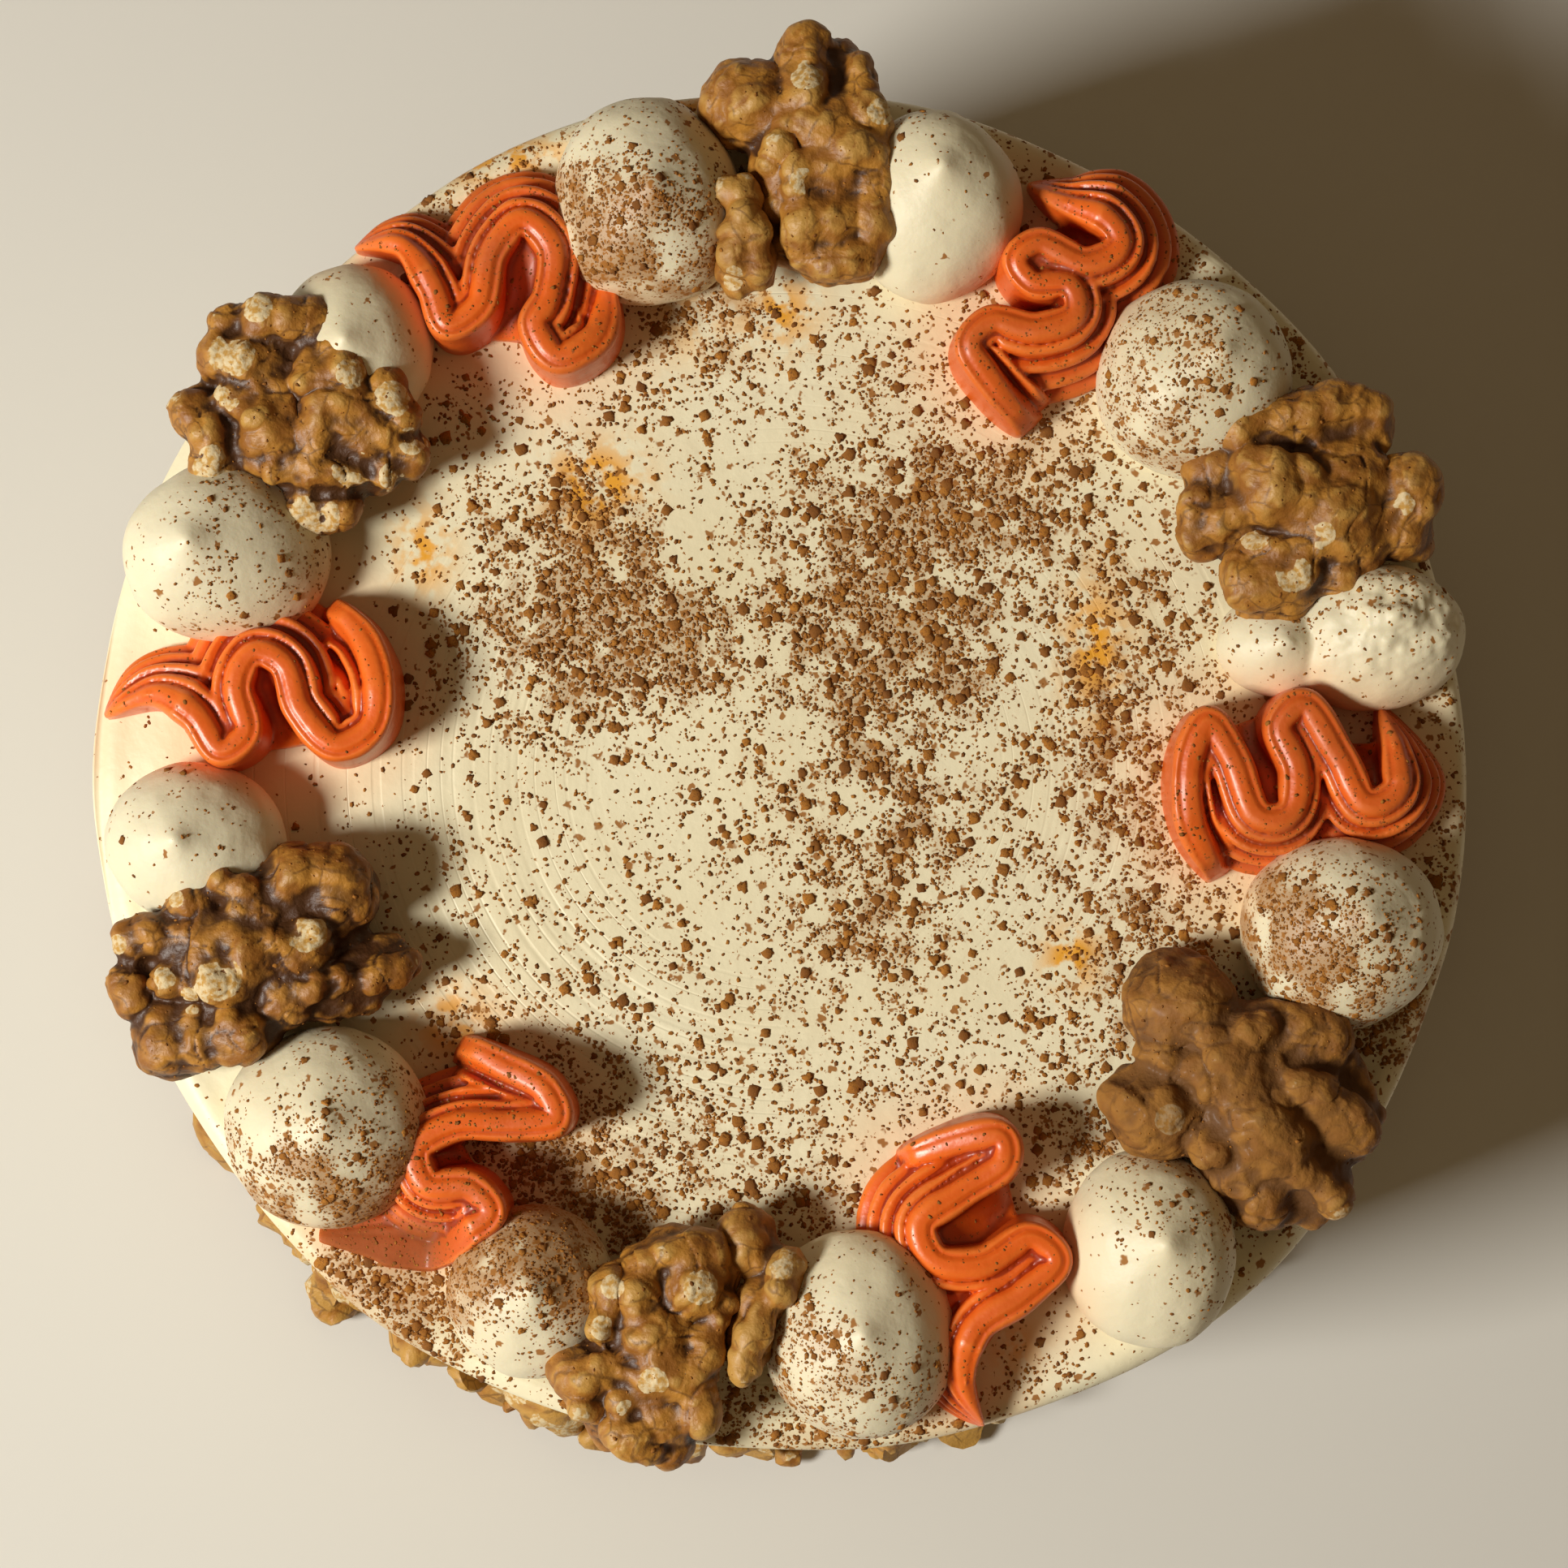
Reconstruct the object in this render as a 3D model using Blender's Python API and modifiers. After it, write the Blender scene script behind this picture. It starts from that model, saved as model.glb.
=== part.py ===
"""A round iced carrot cake with piped dollops, piped ruffles and walnut halves on its top edge.

Metres, +Z up. The origin is the centre of the flat underside. The cake is one uncut drum; every
topping is its own solid and stands just clear of what carries it. Chopped walnuts band the foot.
"""

import math
import random

import bmesh
import bpy
import numpy as np
from mathutils import Matrix, Vector, noise

MM = 0.001

# The drum
CAKE_RADIUS = 84.5 * MM
CAKE_HEIGHT = 80.0 * MM
RIM_ROUNDING = 2.2 * MM
FOOT_ROUNDING = 1.5 * MM
ROUND_STEPS = 64
STRAIGHT_BELOW = 34.0 * MM
RIM_WAVER = ((2, 0.55 * MM, 0.9), (3, 0.5 * MM, 2.4), (5, 0.35 * MM, 4.0), (9, 0.2 * MM, 1.0))

# Gaps between neighbouring solids
REST_GAP = 0.35 * MM
SIDE_GAP = 1.0 * MM
CUTTER_VOXEL = 0.5 * MM

# The toppings are laid out as they look from this far above the top, so raised ones are drawn in.
EYE_HEIGHT = 500.0 * MM
DOLLOP_RISE = 7.0 * MM
RUFFLE_RISE = 10.0 * MM
NUT_RISE = 13.0 * MM

# Dollops: centre x and y, half widths along x and y, and where the tip leans, all in mm
DOLLOPS = (
    (-17.1, 70.6, 11.8, 13.0, 0.8, -0.3),
    (18.9, 69.6, 10.8, 11.3, 0.3, 3.6),
    (50.6, 48.1, 12.0, 12.2, 2.6, 2.4),
    (72.8, 15.8, 11.0, 8.8, 2.8, 2.6),
    (68.6, -20.7, 12.3, 11.5, 2.2, 1.8),
    (44.8, -59.5, 10.6, 11.8, 1.6, 1.0),
    (9.4, -69.7, 11.8, 12.6, 0.2, 0.6),
    (-31.1, -64.7, 10.2, 10.6, 0.6, 1.0),
    (-56.2, -44.7, 12.6, 12.5, 1.0, 1.4),
    (-72.6, -9.4, 11.0, 10.2, -1.2, 0.2),
    (-68.6, 26.6, 12.3, 11.1, -3.6, 0.4),
    (-53.4, 52.3, 9.8, 10.6, -0.2, -0.5),
)
# One bulb was dragged sideways: which one, and the low lobe of its tail
DRAGGED = 4
DRAGGED_TAIL = (61.8, 15.4, 7.6, 6.2, 0.0, 0.0)
DOLLOP_WAIST = 0.45
DOLLOP_STRETCH = 0.86
DOLLOP_TIP = 1.6 * MM
DOLLOP_RINGS = 9
DOLLOP_STEPS = 22
DOLLOP_TRIANGLES = 220

# Ruffles: the middle line of each ribbon from its drawn-out tip, x and y in mm. The ribs are on its left.
RUFFLES = (
    ((30.2, 72.8), (34.4, 70.3), (39.9, 68.0), (41.4, 64.8), (37.4, 63.0), (31.9, 65.3), (28.9, 63.0),
     (30.9, 60.0), (35.2, 59.6), (35.9, 56.3), (31.4, 54.6), (25.9, 55.6), (23.0, 52.3), (25.9, 47.3),
     (30.4, 42.0)),
    ((73.4, 8.0), (75.2, 2.3), (75.6, -2.7), (71.9, -4.2), (68.9, 1.3), (64.6, 7.6), (61.2, 4.8),
     (63.2, -0.7), (62.4, -5.7), (58.4, -5.7), (55.6, 1.3), (52.4, 5.5), (49.9, 0.3), (50.2, -7.2),
     (53.4, -13.7)),
    ((24.6, -80.7), (22.2, -75.2), (23.9, -69.2), (29.6, -65.2), (33.7, -61.0), (30.2, -57.9),
     (24.6, -61.0), (18.9, -60.7), (17.2, -56.4), (21.9, -52.7), (27.0, -49.2), (26.6, -45.5),
     (20.9, -46.2), (13.9, -48.4)),
    ((-56.8, -58.7), (-49.6, -57.7), (-41.1, -58.2), (-36.0, -55.2), (-38.6, -51.8), (-43.6, -51.4),
     (-44.8, -47.2), (-40.1, -44.5), (-33.6, -44.4), (-28.1, -43.7), (-29.4, -39.7), (-34.6, -36.7),
     (-40.0, -33.7)),
    ((-83.8, 6.4), (-78.1, 8.8), (-73.1, 6.3), (-69.8, 1.8), (-66.3, 4.3), (-67.4, 9.8), (-65.6, 13.6),
     (-62.1, 12.3), (-60.1, 6.8), (-55.6, 2.3), (-50.8, 4.8), (-50.1, 10.8), (-52.1, 16.3),
     (-56.1, 20.3)),
    ((-53.4, 64.6), (-47.6, 64.8), (-44.1, 59.8), (-41.8, 54.8), (-37.6, 57.3), (-36.1, 63.8),
     (-32.6, 67.6), (-29.1, 64.3), (-29.4, 58.8), (-31.1, 54.8), (-28.1, 50.6), (-23.1, 53.3),
     (-22.1, 58.3), (-23.8, 61.3)),
)
RIBBON_HALF = 2.1 * MM
RIBBON_HEIGHT = 10.5 * MM
GROOVE_DEPTH = 0.6 * MM
SMOOTH_FOOT = 2.4 * MM
RIBBED_FOOT = 6.6 * MM
RIBS = 4
RIB_DEPTH = 0.7 * MM
TIP_LENGTH = 11.0 * MM
BLUNT_LENGTH = 3.0 * MM
ROUTE_STEP = 0.6 * MM
RUFFLE_VOXEL = 0.42 * MM
RUFFLE_TRIANGLES = 620

# Walnut halves: centre, then lobes as x, y, x, y, radius about that centre in mm; flanks lie lower
WALNUTS = (
    ((3.4, 75.8), "walnut_1",
     ((-0.5, 14.2, -1.0, 8.0, 2.9), (-1.5, 7.0, -5.0, 0.0, 2.1), (-9.6, 9.6, -7.6, 8.4, 3.5),
      (-10.0, 5.2, -4.0, 6.2, 1.6), (6.4, 12.0, 6.0, 6.4, 2.1), (6.2, 6.2, 8.2, 4.2, 2.8),
      (0.0, 4.0, 4.4, 0.4, 3.0), (7.6, 1.0, 7.6, -10.0, 2.6), (6.0, -12.2, 2.0, -12.6, 2.7),
      (-1.0, -2.4, -0.6, -11.0, 2.6)),
     ((3.6, 14.6, 3.0, 8.0, 2.1), (-5.0, -1.0, -3.2, -9.8, 2.3), (3.0, 4.0, 3.0, -8.0, 3.4))),
    ((65.4, 32.8), "walnut_2",
     ((-8.8, 9.4, -3.0, 10.8, 2.5), (-2.0, 11.4, 3.0, 12.0, 3.0), (4.0, 12.4, 7.6, 11.2, 2.9),
      (-13.4, 0.4, -14.4, -4.4, 2.3), (-12.0, -3.0, -9.0, -0.6, 1.9), (-6.0, 4.0, -4.6, 1.0, 3.7),
      (-1.0, 4.0, 0.0, -2.0, 2.4), (2.0, 0.0, 4.4, -4.0, 2.4), (-6.0, -7.0, 2.0, -5.2, 2.0),
      (-7.4, -10.0, -1.0, -8.6, 3.0), (13.4, 2.0, 13.0, -0.6, 3.1)),
     ((3.0, 6.0, 9.0, 2.0, 3.0), (-12.0, 7.0, -13.0, 3.0, 2.3), (-6.0, -13.2, -2.0, -12.8, 2.2),
      (8.0, -2.0, 13.6, -4.0, 2.5), (8.0, -6.0, 2.0, -11.0, 2.3), (-4.0, 2.0, 3.0, -2.0, 3.6))),
    ((57.4, -41.2), "walnut_3",
     ((-9.4, 12.8, -6.6, 11.4, 4.1), (-5.0, 8.0, -2.0, 7.6, 2.3), (0.0, 8.2, 1.6, 8.6, 2.5),
      (-12.4, 6.0, -4.0, 1.6, 1.9), (-4.0, 1.6, 2.0, -4.0, 2.3), (-15.2, -0.4, -10.2, -2.4, 3.6),
      (-6.0, -5.0, -4.6, -6.4, 2.4), (6.0, 1.4, 6.4, 1.6, 2.2), (9.0, 0.4, 13.8, -4.0, 2.9),
      (4.0, -7.0, 9.8, -11.4, 2.8)),
     ((3.0, 9.6, 10.0, 8.0, 2.9), (0.0, 5.0, 6.4, 4.0, 2.8), (-1.0, -10.0, 3.0, -13.6, 3.0),
      (6.0, -14.0, 10.0, -14.2, 1.8), (11.4, -9.0, 11.4, -12.8, 1.4), (12.0, 4.4, 15.8, -1.6, 1.8),
      (-3.0, 4.0, 3.0, -6.0, 4.0))),
    ((-16.6, -71.2), "walnut_4",
     ((3.0, 11.0, 7.4, 10.4, 3.0), (4.4, 9.0, 5.4, 6.4, 3.0), (-0.4, 9.0, -1.0, 4.0, 2.3),
      (-4.6, 7.0, -6.0, 1.6, 1.9), (9.0, 4.4, 6.0, -3.0, 2.0), (-9.6, -4.0, -4.0, -3.0, 2.5),
      (-8.2, -7.6, -7.4, -7.8, 2.1), (-3.0, -5.6, -3.6, -8.0, 1.9), (0.0, -4.0, 5.0, -4.2, 2.6),
      (5.6, -7.0, 6.4, -9.6, 2.3), (-3.0, -11.0, 0.0, -12.6, 2.6)),
     ((2.0, -14.0, 2.2, -13.6, 2.1), (-6.0, -11.0, -5.0, -11.4, 1.6), (0.0, 4.0, 2.0, -10.0, 3.6))),
    ((-66.6, -24.7), "walnut_5",
     ((6.4, 10.8, 11.4, 10.4, 3.9), (0.0, 9.4, -3.0, 10.0, 2.6), (-6.4, 8.2, -8.6, 7.0, 2.5),
      (-12.0, 3.6, -14.8, 3.0, 2.6), (0.0, 6.4, 3.0, 6.4, 2.4), (7.4, 4.0, 7.8, 4.0, 2.4),
      (-8.0, 3.0, 3.0, 3.0, 1.9), (-3.2, -1.4, -2.6, -1.8, 3.0), (-9.6, -2.0, -6.0, -2.4, 2.0),
      (-15.0, -2.0, -14.0, -4.4, 2.3), (-10.4, -9.6, 0.0, -9.0, 3.3), (7.0, -3.0, 13.0, -2.0, 2.0),
      (15.0, -1.6, 19.0, 0.4, 2.3)),
     ((-11.6, -5.4, -8.0, -5.0, 1.9), (0.0, -4.6, 2.0, -3.6, 1.9), (15.0, -4.4, 9.6, -5.8, 1.8),
      (10.0, 2.6, 14.0, 4.0, 1.3), (5.0, -5.4, 3.0, -0.6, 2.6), (-8.0, 2.0, 6.0, 2.0, 3.6))),
    ((-60.1, 44.8), "walnut_6",
     ((-4.4, 10.8, 0.6, 10.0, 3.1), (3.0, 9.0, 3.6, 7.0, 2.8), (-8.0, 11.4, -9.6, 10.4, 2.2),
      (-10.0, 6.4, -7.6, 5.2, 3.2), (-8.4, 1.0, -5.4, -1.0, 2.4), (-13.2, -1.0, -11.4, -3.0, 3.0),
      (-11.4, -4.6, -10.4, -8.0, 2.5), (1.6, 4.0, 6.4, 4.0, 2.6), (10.4, 2.0, 12.2, -2.0, 2.5),
      (3.0, -1.0, 2.0, -5.0, 2.4), (8.0, -3.0, 13.2, -6.0, 2.3), (-3.4, -8.0, 7.4, -8.4, 2.0),
      (10.4, -8.0, 12.6, -7.0, 2.4)),
     ((-7.4, -5.0, -3.6, -3.2, 2.6), (0.6, -13.4, 3.6, -13.6, 2.5), (4.4, -10.6, 5.2, -12.0, 1.9),
      (-6.0, 6.0, -4.0, -5.0, 3.4), (3.0, 5.0, 8.0, -4.0, 3.6))),
    ((-5.3, 66.0), "walnut_chip_1",
     ((-1.6, 5.6, 1.0, 5.0, 1.9), (0.0, 2.0, -0.6, -2.2, 2.1), (1.6, 1.6, 2.4, -4.0, 1.8)),
     ((-1.0, -5.6, -0.6, -6.2, 1.3),)),
    ((-2.8, -69.0), "walnut_chip_2",
     ((2.8, 7.4, 2.2, 3.6, 2.0), (0.6, 2.6, -1.6, -3.8, 2.0), (-2.4, -6.0, -1.4, -5.4, 1.6)),
     ((-2.4, 12.6, -1.0, 9.6, 2.2),)),
)
NUT_LIFT = 2.6 * MM
RIDGE_HEIGHT = 8.6 * MM
FLANK_HEIGHT = 5.4 * MM
BED_HEIGHT = 4.6 * MM
BED_SPREAD = 1.5
BED_DRAW = 0.9
NUT_DROOP = 0.013
RIDGE_SWELL = 1.12
BEAD_PITCH = 0.55
NUT_VOXEL = 0.45 * MM
NUT_TRIANGLES = 420
CHIP_TRIANGLES = 150

# The band of chopped walnuts pressed into the foot of the drum
BAND_HEIGHT = 20.0 * MM
BAND_THICKNESS = 1.6 * MM
BAND_LIFT = 0.3 * MM
CHUNK_COUNT = 74
CHUNK_SMALL = 3.2 * MM
CHUNK_LARGE = 7.2 * MM
CHUNK_SEED = 7

ICING = (0.86, 0.76, 0.58)
ORANGE_ICING = (0.86, 0.20, 0.05)
WALNUT = (0.36, 0.19, 0.07)


def make_material(name, colour, roughness):
    """A plain surface of one colour."""
    material = bpy.data.materials.new(name)
    material.use_nodes = True
    shader = material.node_tree.nodes["Principled BSDF"]
    shader.inputs["Base Color"].default_value = (*colour, 1.0)
    shader.inputs["Roughness"].default_value = roughness
    return material


def add_object(name, mesh, collection, material=None):
    """Links a mesh as an object of that collection."""
    made = bpy.data.objects.new(name, mesh)
    collection.objects.link(made)
    if material:
        mesh.materials.clear()
        mesh.materials.append(material)
    return made


def settle(piece):
    """Replaces a piece's mesh by the one that its modifiers make, and drops them."""
    bpy.context.view_layer.update()
    graph = bpy.context.evaluated_depsgraph_get()
    piece.data = bpy.data.meshes.new_from_object(piece.evaluated_get(graph))
    piece.modifiers.clear()
    return piece


def triangle_count(piece):
    """How many triangles the piece's faces come to."""
    return sum(len(face.vertices) - 2 for face in piece.data.polygons)


def thin_out(piece, triangles):
    """Collapses edges until about that many triangles are left."""
    count = triangle_count(piece)
    if count > triangles:
        thinner = piece.modifiers.new("thin out", "DECIMATE")
        thinner.ratio = triangles / count
        thinner.use_collapse_triangulate = True
        settle(piece)
    return piece


def fuse(piece, voxel, smoothing):
    """Joins overlapping shapes of one mesh into one closed skin."""
    skin = piece.modifiers.new("skin", "REMESH")
    skin.mode = "VOXEL"
    skin.voxel_size = voxel
    if smoothing:
        softener = piece.modifiers.new("soften", "SMOOTH")
        softener.iterations = smoothing
    return settle(piece)


def islands(mesh):
    """The sets of linked faces of a bmesh."""
    left = set(mesh.faces)
    found = []
    while left:
        group = set()
        front = [left.pop()]
        while front:
            face = front.pop()
            group.add(face)
            linked = {other for edge in face.edges for other in edge.link_faces}
            front.extend(linked & left)
            left -= linked
        found.append(group)
    return found


def drop_scraps(piece):
    """Keeps only the largest of the separate bodies that a cut has left."""
    mesh = bmesh.new()
    mesh.from_mesh(piece.data)
    groups = sorted(islands(mesh), key=lambda group: sum(face.calc_area() for face in group))
    for group in groups[:-1]:
        bmesh.ops.delete(mesh, geom=list(group), context="FACES")
    mesh.to_mesh(piece.data)
    mesh.free()
    return piece


def turned(name, profile, steps, collection):
    """A closed turned body from (radius, height) points that run from the top axis to the bottom axis."""
    mesh = bpy.data.meshes.new(name)
    points = [(radius, 0.0, height) for radius, height in profile]
    mesh.from_pydata(points, [(i, i + 1) for i in range(len(points) - 1)], [])
    body = add_object(name, mesh, collection)
    screw = body.modifiers.new("turn", "SCREW")
    screw.steps = steps
    screw.render_steps = steps
    screw.use_merge_vertices = True
    screw.merge_threshold = 0.00002
    return settle(body)


def quarter_round(radius, height, rounding, lower, steps=3):
    """Points round an outer edge, from its upper to its lower end."""
    start = -math.pi / 2 if lower else 0.0
    centre = height + rounding if lower else height - rounding
    turns = [start + (math.pi / 2) * i / steps for i in range(steps + 1)]
    points = [(radius - rounding + rounding * math.cos(a), centre + rounding * math.sin(a)) for a in turns]
    return points[::-1]


def rim_waver(angle):
    """How far the drum's upper wall stands out from a true circle."""
    return sum(size * math.cos(waves * angle + phase) for waves, size, phase in RIM_WAVER)


def make_drum(collection, material):
    """The iced drum: a round wall that wavers towards its rim, with a crisp spatula-smoothed top."""
    profile = [(0.0, CAKE_HEIGHT), (CAKE_RADIUS * 0.55, CAKE_HEIGHT)]
    profile += quarter_round(CAKE_RADIUS, CAKE_HEIGHT, RIM_ROUNDING, lower=False)
    profile += [(CAKE_RADIUS, CAKE_HEIGHT * 0.7), (CAKE_RADIUS, STRAIGHT_BELOW)]
    profile += quarter_round(CAKE_RADIUS, 0.0, FOOT_ROUNDING, lower=True, steps=2)
    profile += [(0.0, 0.0)]
    drum = turned("iced_cake", profile, ROUND_STEPS, collection)
    for vertex in drum.data.vertices:
        spot = vertex.co
        share = max(0.0, spot.z - STRAIGHT_BELOW) / (CAKE_HEIGHT - STRAIGHT_BELOW)
        radius = math.hypot(spot.x, spot.y)
        if radius > CAKE_RADIUS * 0.9 and share > 0.0:
            grown = 1.0 + share * rim_waver(math.atan2(spot.y, spot.x)) / CAKE_RADIUS
            spot.x *= grown
            spot.y *= grown
    drum.data.materials.append(material)
    return drum


def drawn_in(x, y, rise):
    """The true place, in metres, of a point in mm that looks to be at x, y but stands that much higher."""
    nearer = 1.0 - rise / EYE_HEIGHT
    return x * MM * nearer, y * MM * nearer


def make_dollop(name, layout, collection, material):
    """A round piped bulb of icing that narrows to a small leaning tip."""
    x, y, half_x, half_y, lean_x, lean_y = layout
    low = -math.asin(DOLLOP_WAIST)
    profile = []
    for i in range(DOLLOP_RINGS + 1):
        angle = math.pi / 2 + (low - math.pi / 2) * i / DOLLOP_RINGS
        tip = DOLLOP_TIP / MM * math.exp(-((math.cos(angle) / 0.16) ** 2)) / half_x
        profile.append((math.cos(angle), (DOLLOP_WAIST + math.sin(angle)) * DOLLOP_STRETCH + tip))
    profile.append((0.0, profile[-1][1]))
    bulb = turned(name, profile, DOLLOP_STEPS, collection)
    centre_x, centre_y = drawn_in(x, y, DOLLOP_RISE)
    half = (half_x + half_y) / 2
    for vertex in bulb.data.vertices:
        spot = vertex.co
        bump = 1.0 + 0.03 * noise.noise(Vector((spot.x + x, spot.y + y, spot.z)) * 1.6)
        high = max(0.0, spot.z / 1.4) ** 2
        vertex.co = (
            centre_x + (spot.x * half_x * bump + lean_x * high) * MM,
            centre_y + (spot.y * half_y * bump + lean_y * high) * MM,
            CAKE_HEIGHT + REST_GAP + max(0.0, spot.z) * half * MM,
        )
    bulb.data.materials.append(material)
    return bulb


def add_tail(bulb, collection, material):
    """Joins a lower lobe to a bulb that was dragged sideways while it was piped."""
    tail = make_dollop(bulb.name + "_tail", DRAGGED_TAIL, collection, material)
    mesh = bmesh.new()
    mesh.from_mesh(bulb.data)
    mesh.from_mesh(tail.data)
    mesh.to_mesh(bulb.data)
    mesh.free()
    bpy.data.objects.remove(tail)
    return fuse(bulb, CUTTER_VOXEL, smoothing=3)


def smooth_route(points, step):
    """Evenly spaced points on a smooth curve through the given ones."""
    knots = np.array([points[0], *points, points[-1]], float)
    pieces = []
    for a, b, c, d in zip(knots, knots[1:], knots[2:], knots[3:]):
        t = np.linspace(0.0, 1.0, 24, endpoint=False)[:, None]
        pieces.append(0.5 * (2 * b + (c - a) * t + (2 * a - 5 * b + 4 * c - d) * t**2 + (3 * b - a - 3 * c + d) * t**3))
    curve = np.concatenate(pieces + [knots[-1:]])
    run = np.concatenate([[0.0], np.cumsum(np.linalg.norm(np.diff(curve, axis=0), axis=1))])
    even = np.linspace(0.0, run[-1], max(8, round(run[-1] / step)))
    return np.column_stack([np.interp(even, run, curve[:, i]) for i in range(2)]), even


def ribbon_section():
    """The ribbon's cut: (across, up) from its smooth foot over a grooved top to its ribbed foot."""
    cut = [
        (-RIBBON_HALF - SMOOTH_FOOT, 0.0),
        (-RIBBON_HALF - 0.45 * SMOOTH_FOOT, 0.4 * RIBBON_HEIGHT),
        (-RIBBON_HALF - 0.1 * SMOOTH_FOOT, 0.86 * RIBBON_HEIGHT),
        (-0.75 * RIBBON_HALF, RIBBON_HEIGHT),
        (0.0, RIBBON_HEIGHT - GROOVE_DEPTH),
        (0.75 * RIBBON_HALF, RIBBON_HEIGHT),
    ]
    for i in range(2 * RIBS):
        share = (i + 0.4) / (2 * RIBS)
        sunk = RIB_DEPTH if i % 2 == 0 else -0.3 * RIB_DEPTH
        across = RIBBON_HALF + RIBBED_FOOT * share - sunk
        cut.append((across, RIBBON_HEIGHT * 0.93 * (1.0 - share) - 0.5 * sunk))
    cut.append((RIBBON_HALF + RIBBED_FOOT, 0.0))
    return np.array(cut)


def make_ruffle(name, route, collection, material):
    """A ribbon of icing piped to and fro: smooth on its right, ribbed on its left, drawn out to a tip."""
    places = [drawn_in(x, y, RUFFLE_RISE) for x, y in route]
    line, run = smooth_route(places, ROUTE_STEP)
    ahead = np.gradient(line, axis=0)
    ahead /= np.linalg.norm(ahead, axis=1)[:, None]
    left = np.column_stack([-ahead[:, 1], ahead[:, 0]])
    heading = np.unwrap(np.arctan2(ahead[:, 1], ahead[:, 0]))
    bend = np.convolve(np.gradient(heading, run), np.ones(5) / 5, mode="same")
    cut = ribbon_section()
    rings = []
    for i, (place, side) in enumerate(zip(line, left)):
        grown = min(1.0, 0.16 + 0.84 * (run[i] / TIP_LENGTH) ** 0.8)
        blunt = min(1.0, 0.72 + 0.28 * (run[-1] - run[i]) / BLUNT_LENGTH)
        across = cut[:, 0] * grown
        room = np.where(across * bend[i] > 0.0, 0.92 / max(abs(bend[i]), 1.0), 1.0)
        across = room * np.tanh(across / room)
        up = cut[:, 1] * (0.35 + 0.65 * grown) * blunt
        flat = place[None, :] + across[:, None] * side[None, :]
        rings.append(np.column_stack([flat, up + CAKE_HEIGHT + REST_GAP]))
    width = len(cut)
    faces = []
    for i in range(len(rings) - 1):
        for j in range(width):
            k = (j + 1) % width
            faces.append((i * width + j, i * width + k, (i + 1) * width + k, (i + 1) * width + j))
    last = (len(rings) - 1) * width
    faces.append(tuple(range(width))[::-1])
    faces.append(tuple(range(last, last + width)))
    mesh = bpy.data.meshes.new(name)
    mesh.from_pydata(np.concatenate(rings).tolist(), [], faces)
    ruffle = add_object(name, mesh, collection)
    turn_out(ruffle)
    fuse(ruffle, RUFFLE_VOXEL, smoothing=0)
    thin_out(ruffle, RUFFLE_TRIANGLES)
    sit_flat(ruffle, CAKE_HEIGHT + REST_GAP)
    ruffle.data.materials.append(material)
    return ruffle


def turn_out(piece):
    """Makes the faces of a piece point outwards."""
    mesh = bmesh.new()
    mesh.from_mesh(piece.data)
    bmesh.ops.recalc_face_normals(mesh, faces=mesh.faces)
    mesh.to_mesh(piece.data)
    mesh.free()


def sit_flat(piece, floor):
    """Lifts what lies below the floor up to it."""
    for vertex in piece.data.vertices:
        vertex.co.z = max(vertex.co.z, floor)


def add_lobe(mesh, ends, radius, height):
    """A row of overlapping balls between two ends, as a rounded ridge of the kernel."""
    first, second = Vector((*ends[:2], height)), Vector((*ends[2:], height))
    balls = max(2, 1 + round((second - first).length / (radius * BEAD_PITCH)))
    for i in range(balls):
        centre = first.lerp(second, i / (balls - 1))
        centre.z -= NUT_DROOP / MM * (centre.x**2 + centre.y**2)
        bmesh.ops.create_icosphere(mesh, subdivisions=2, radius=radius, matrix=Matrix.Translation(centre))


def make_nut(name, layout, triangles, collection, material):
    """A walnut half: rounded ridges over lower flanks and a broad bed, fused into one kernel."""
    (x, y), _, ridges, flanks = layout
    mesh = bmesh.new()
    for lobes, height in ((ridges, RIDGE_HEIGHT), (flanks, FLANK_HEIGHT)):
        for lobe in lobes:
            ends = [v * MM for v in lobe[:4]]
            add_lobe(mesh, ends, lobe[4] * RIDGE_SWELL * MM, height)
            add_lobe(mesh, [v * BED_DRAW for v in ends], lobe[4] * BED_SPREAD * MM, BED_HEIGHT)
    data = bpy.data.meshes.new(name)
    mesh.to_mesh(data)
    mesh.free()
    shrink = 1.0 - NUT_RISE / EYE_HEIGHT
    place = Vector((*drawn_in(x, y, NUT_RISE), CAKE_HEIGHT + NUT_LIFT))
    data.transform(Matrix.Translation(place) @ Matrix.Diagonal((shrink, shrink, 1.0, 1.0)))
    nut = add_object(name, data, collection)
    fuse(nut, NUT_VOXEL, smoothing=2)
    drop_scraps(nut)
    thin_out(nut, triangles)
    sit_flat(nut, CAKE_HEIGHT + REST_GAP)
    nut.data.materials.clear()
    nut.data.materials.append(material)
    return nut


def make_cutter(piece, clearance, collection):
    """A swollen copy of a piece, which cuts its neighbours clear of it."""
    cutter = add_object(piece.name + "_cutter", piece.data.copy(), collection)
    swell = cutter.modifiers.new("swell", "DISPLACE")
    swell.strength = clearance
    swell.mid_level = 0.0
    fuse(cutter, CUTTER_VOXEL, smoothing=0)
    cutter.hide_render = True
    cutter.display_type = "WIRE"
    return cutter


def near(piece, other):
    """Whether the boxes of two pieces meet."""
    boxes = []
    for item in (piece, other):
        corners = np.array([vertex.co for vertex in item.data.vertices])
        boxes.append((corners.min(axis=0), corners.max(axis=0)))
    (low_a, high_a), (low_b, high_b) = boxes
    return bool(np.all(low_a < high_b) and np.all(low_b < high_a))


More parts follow.
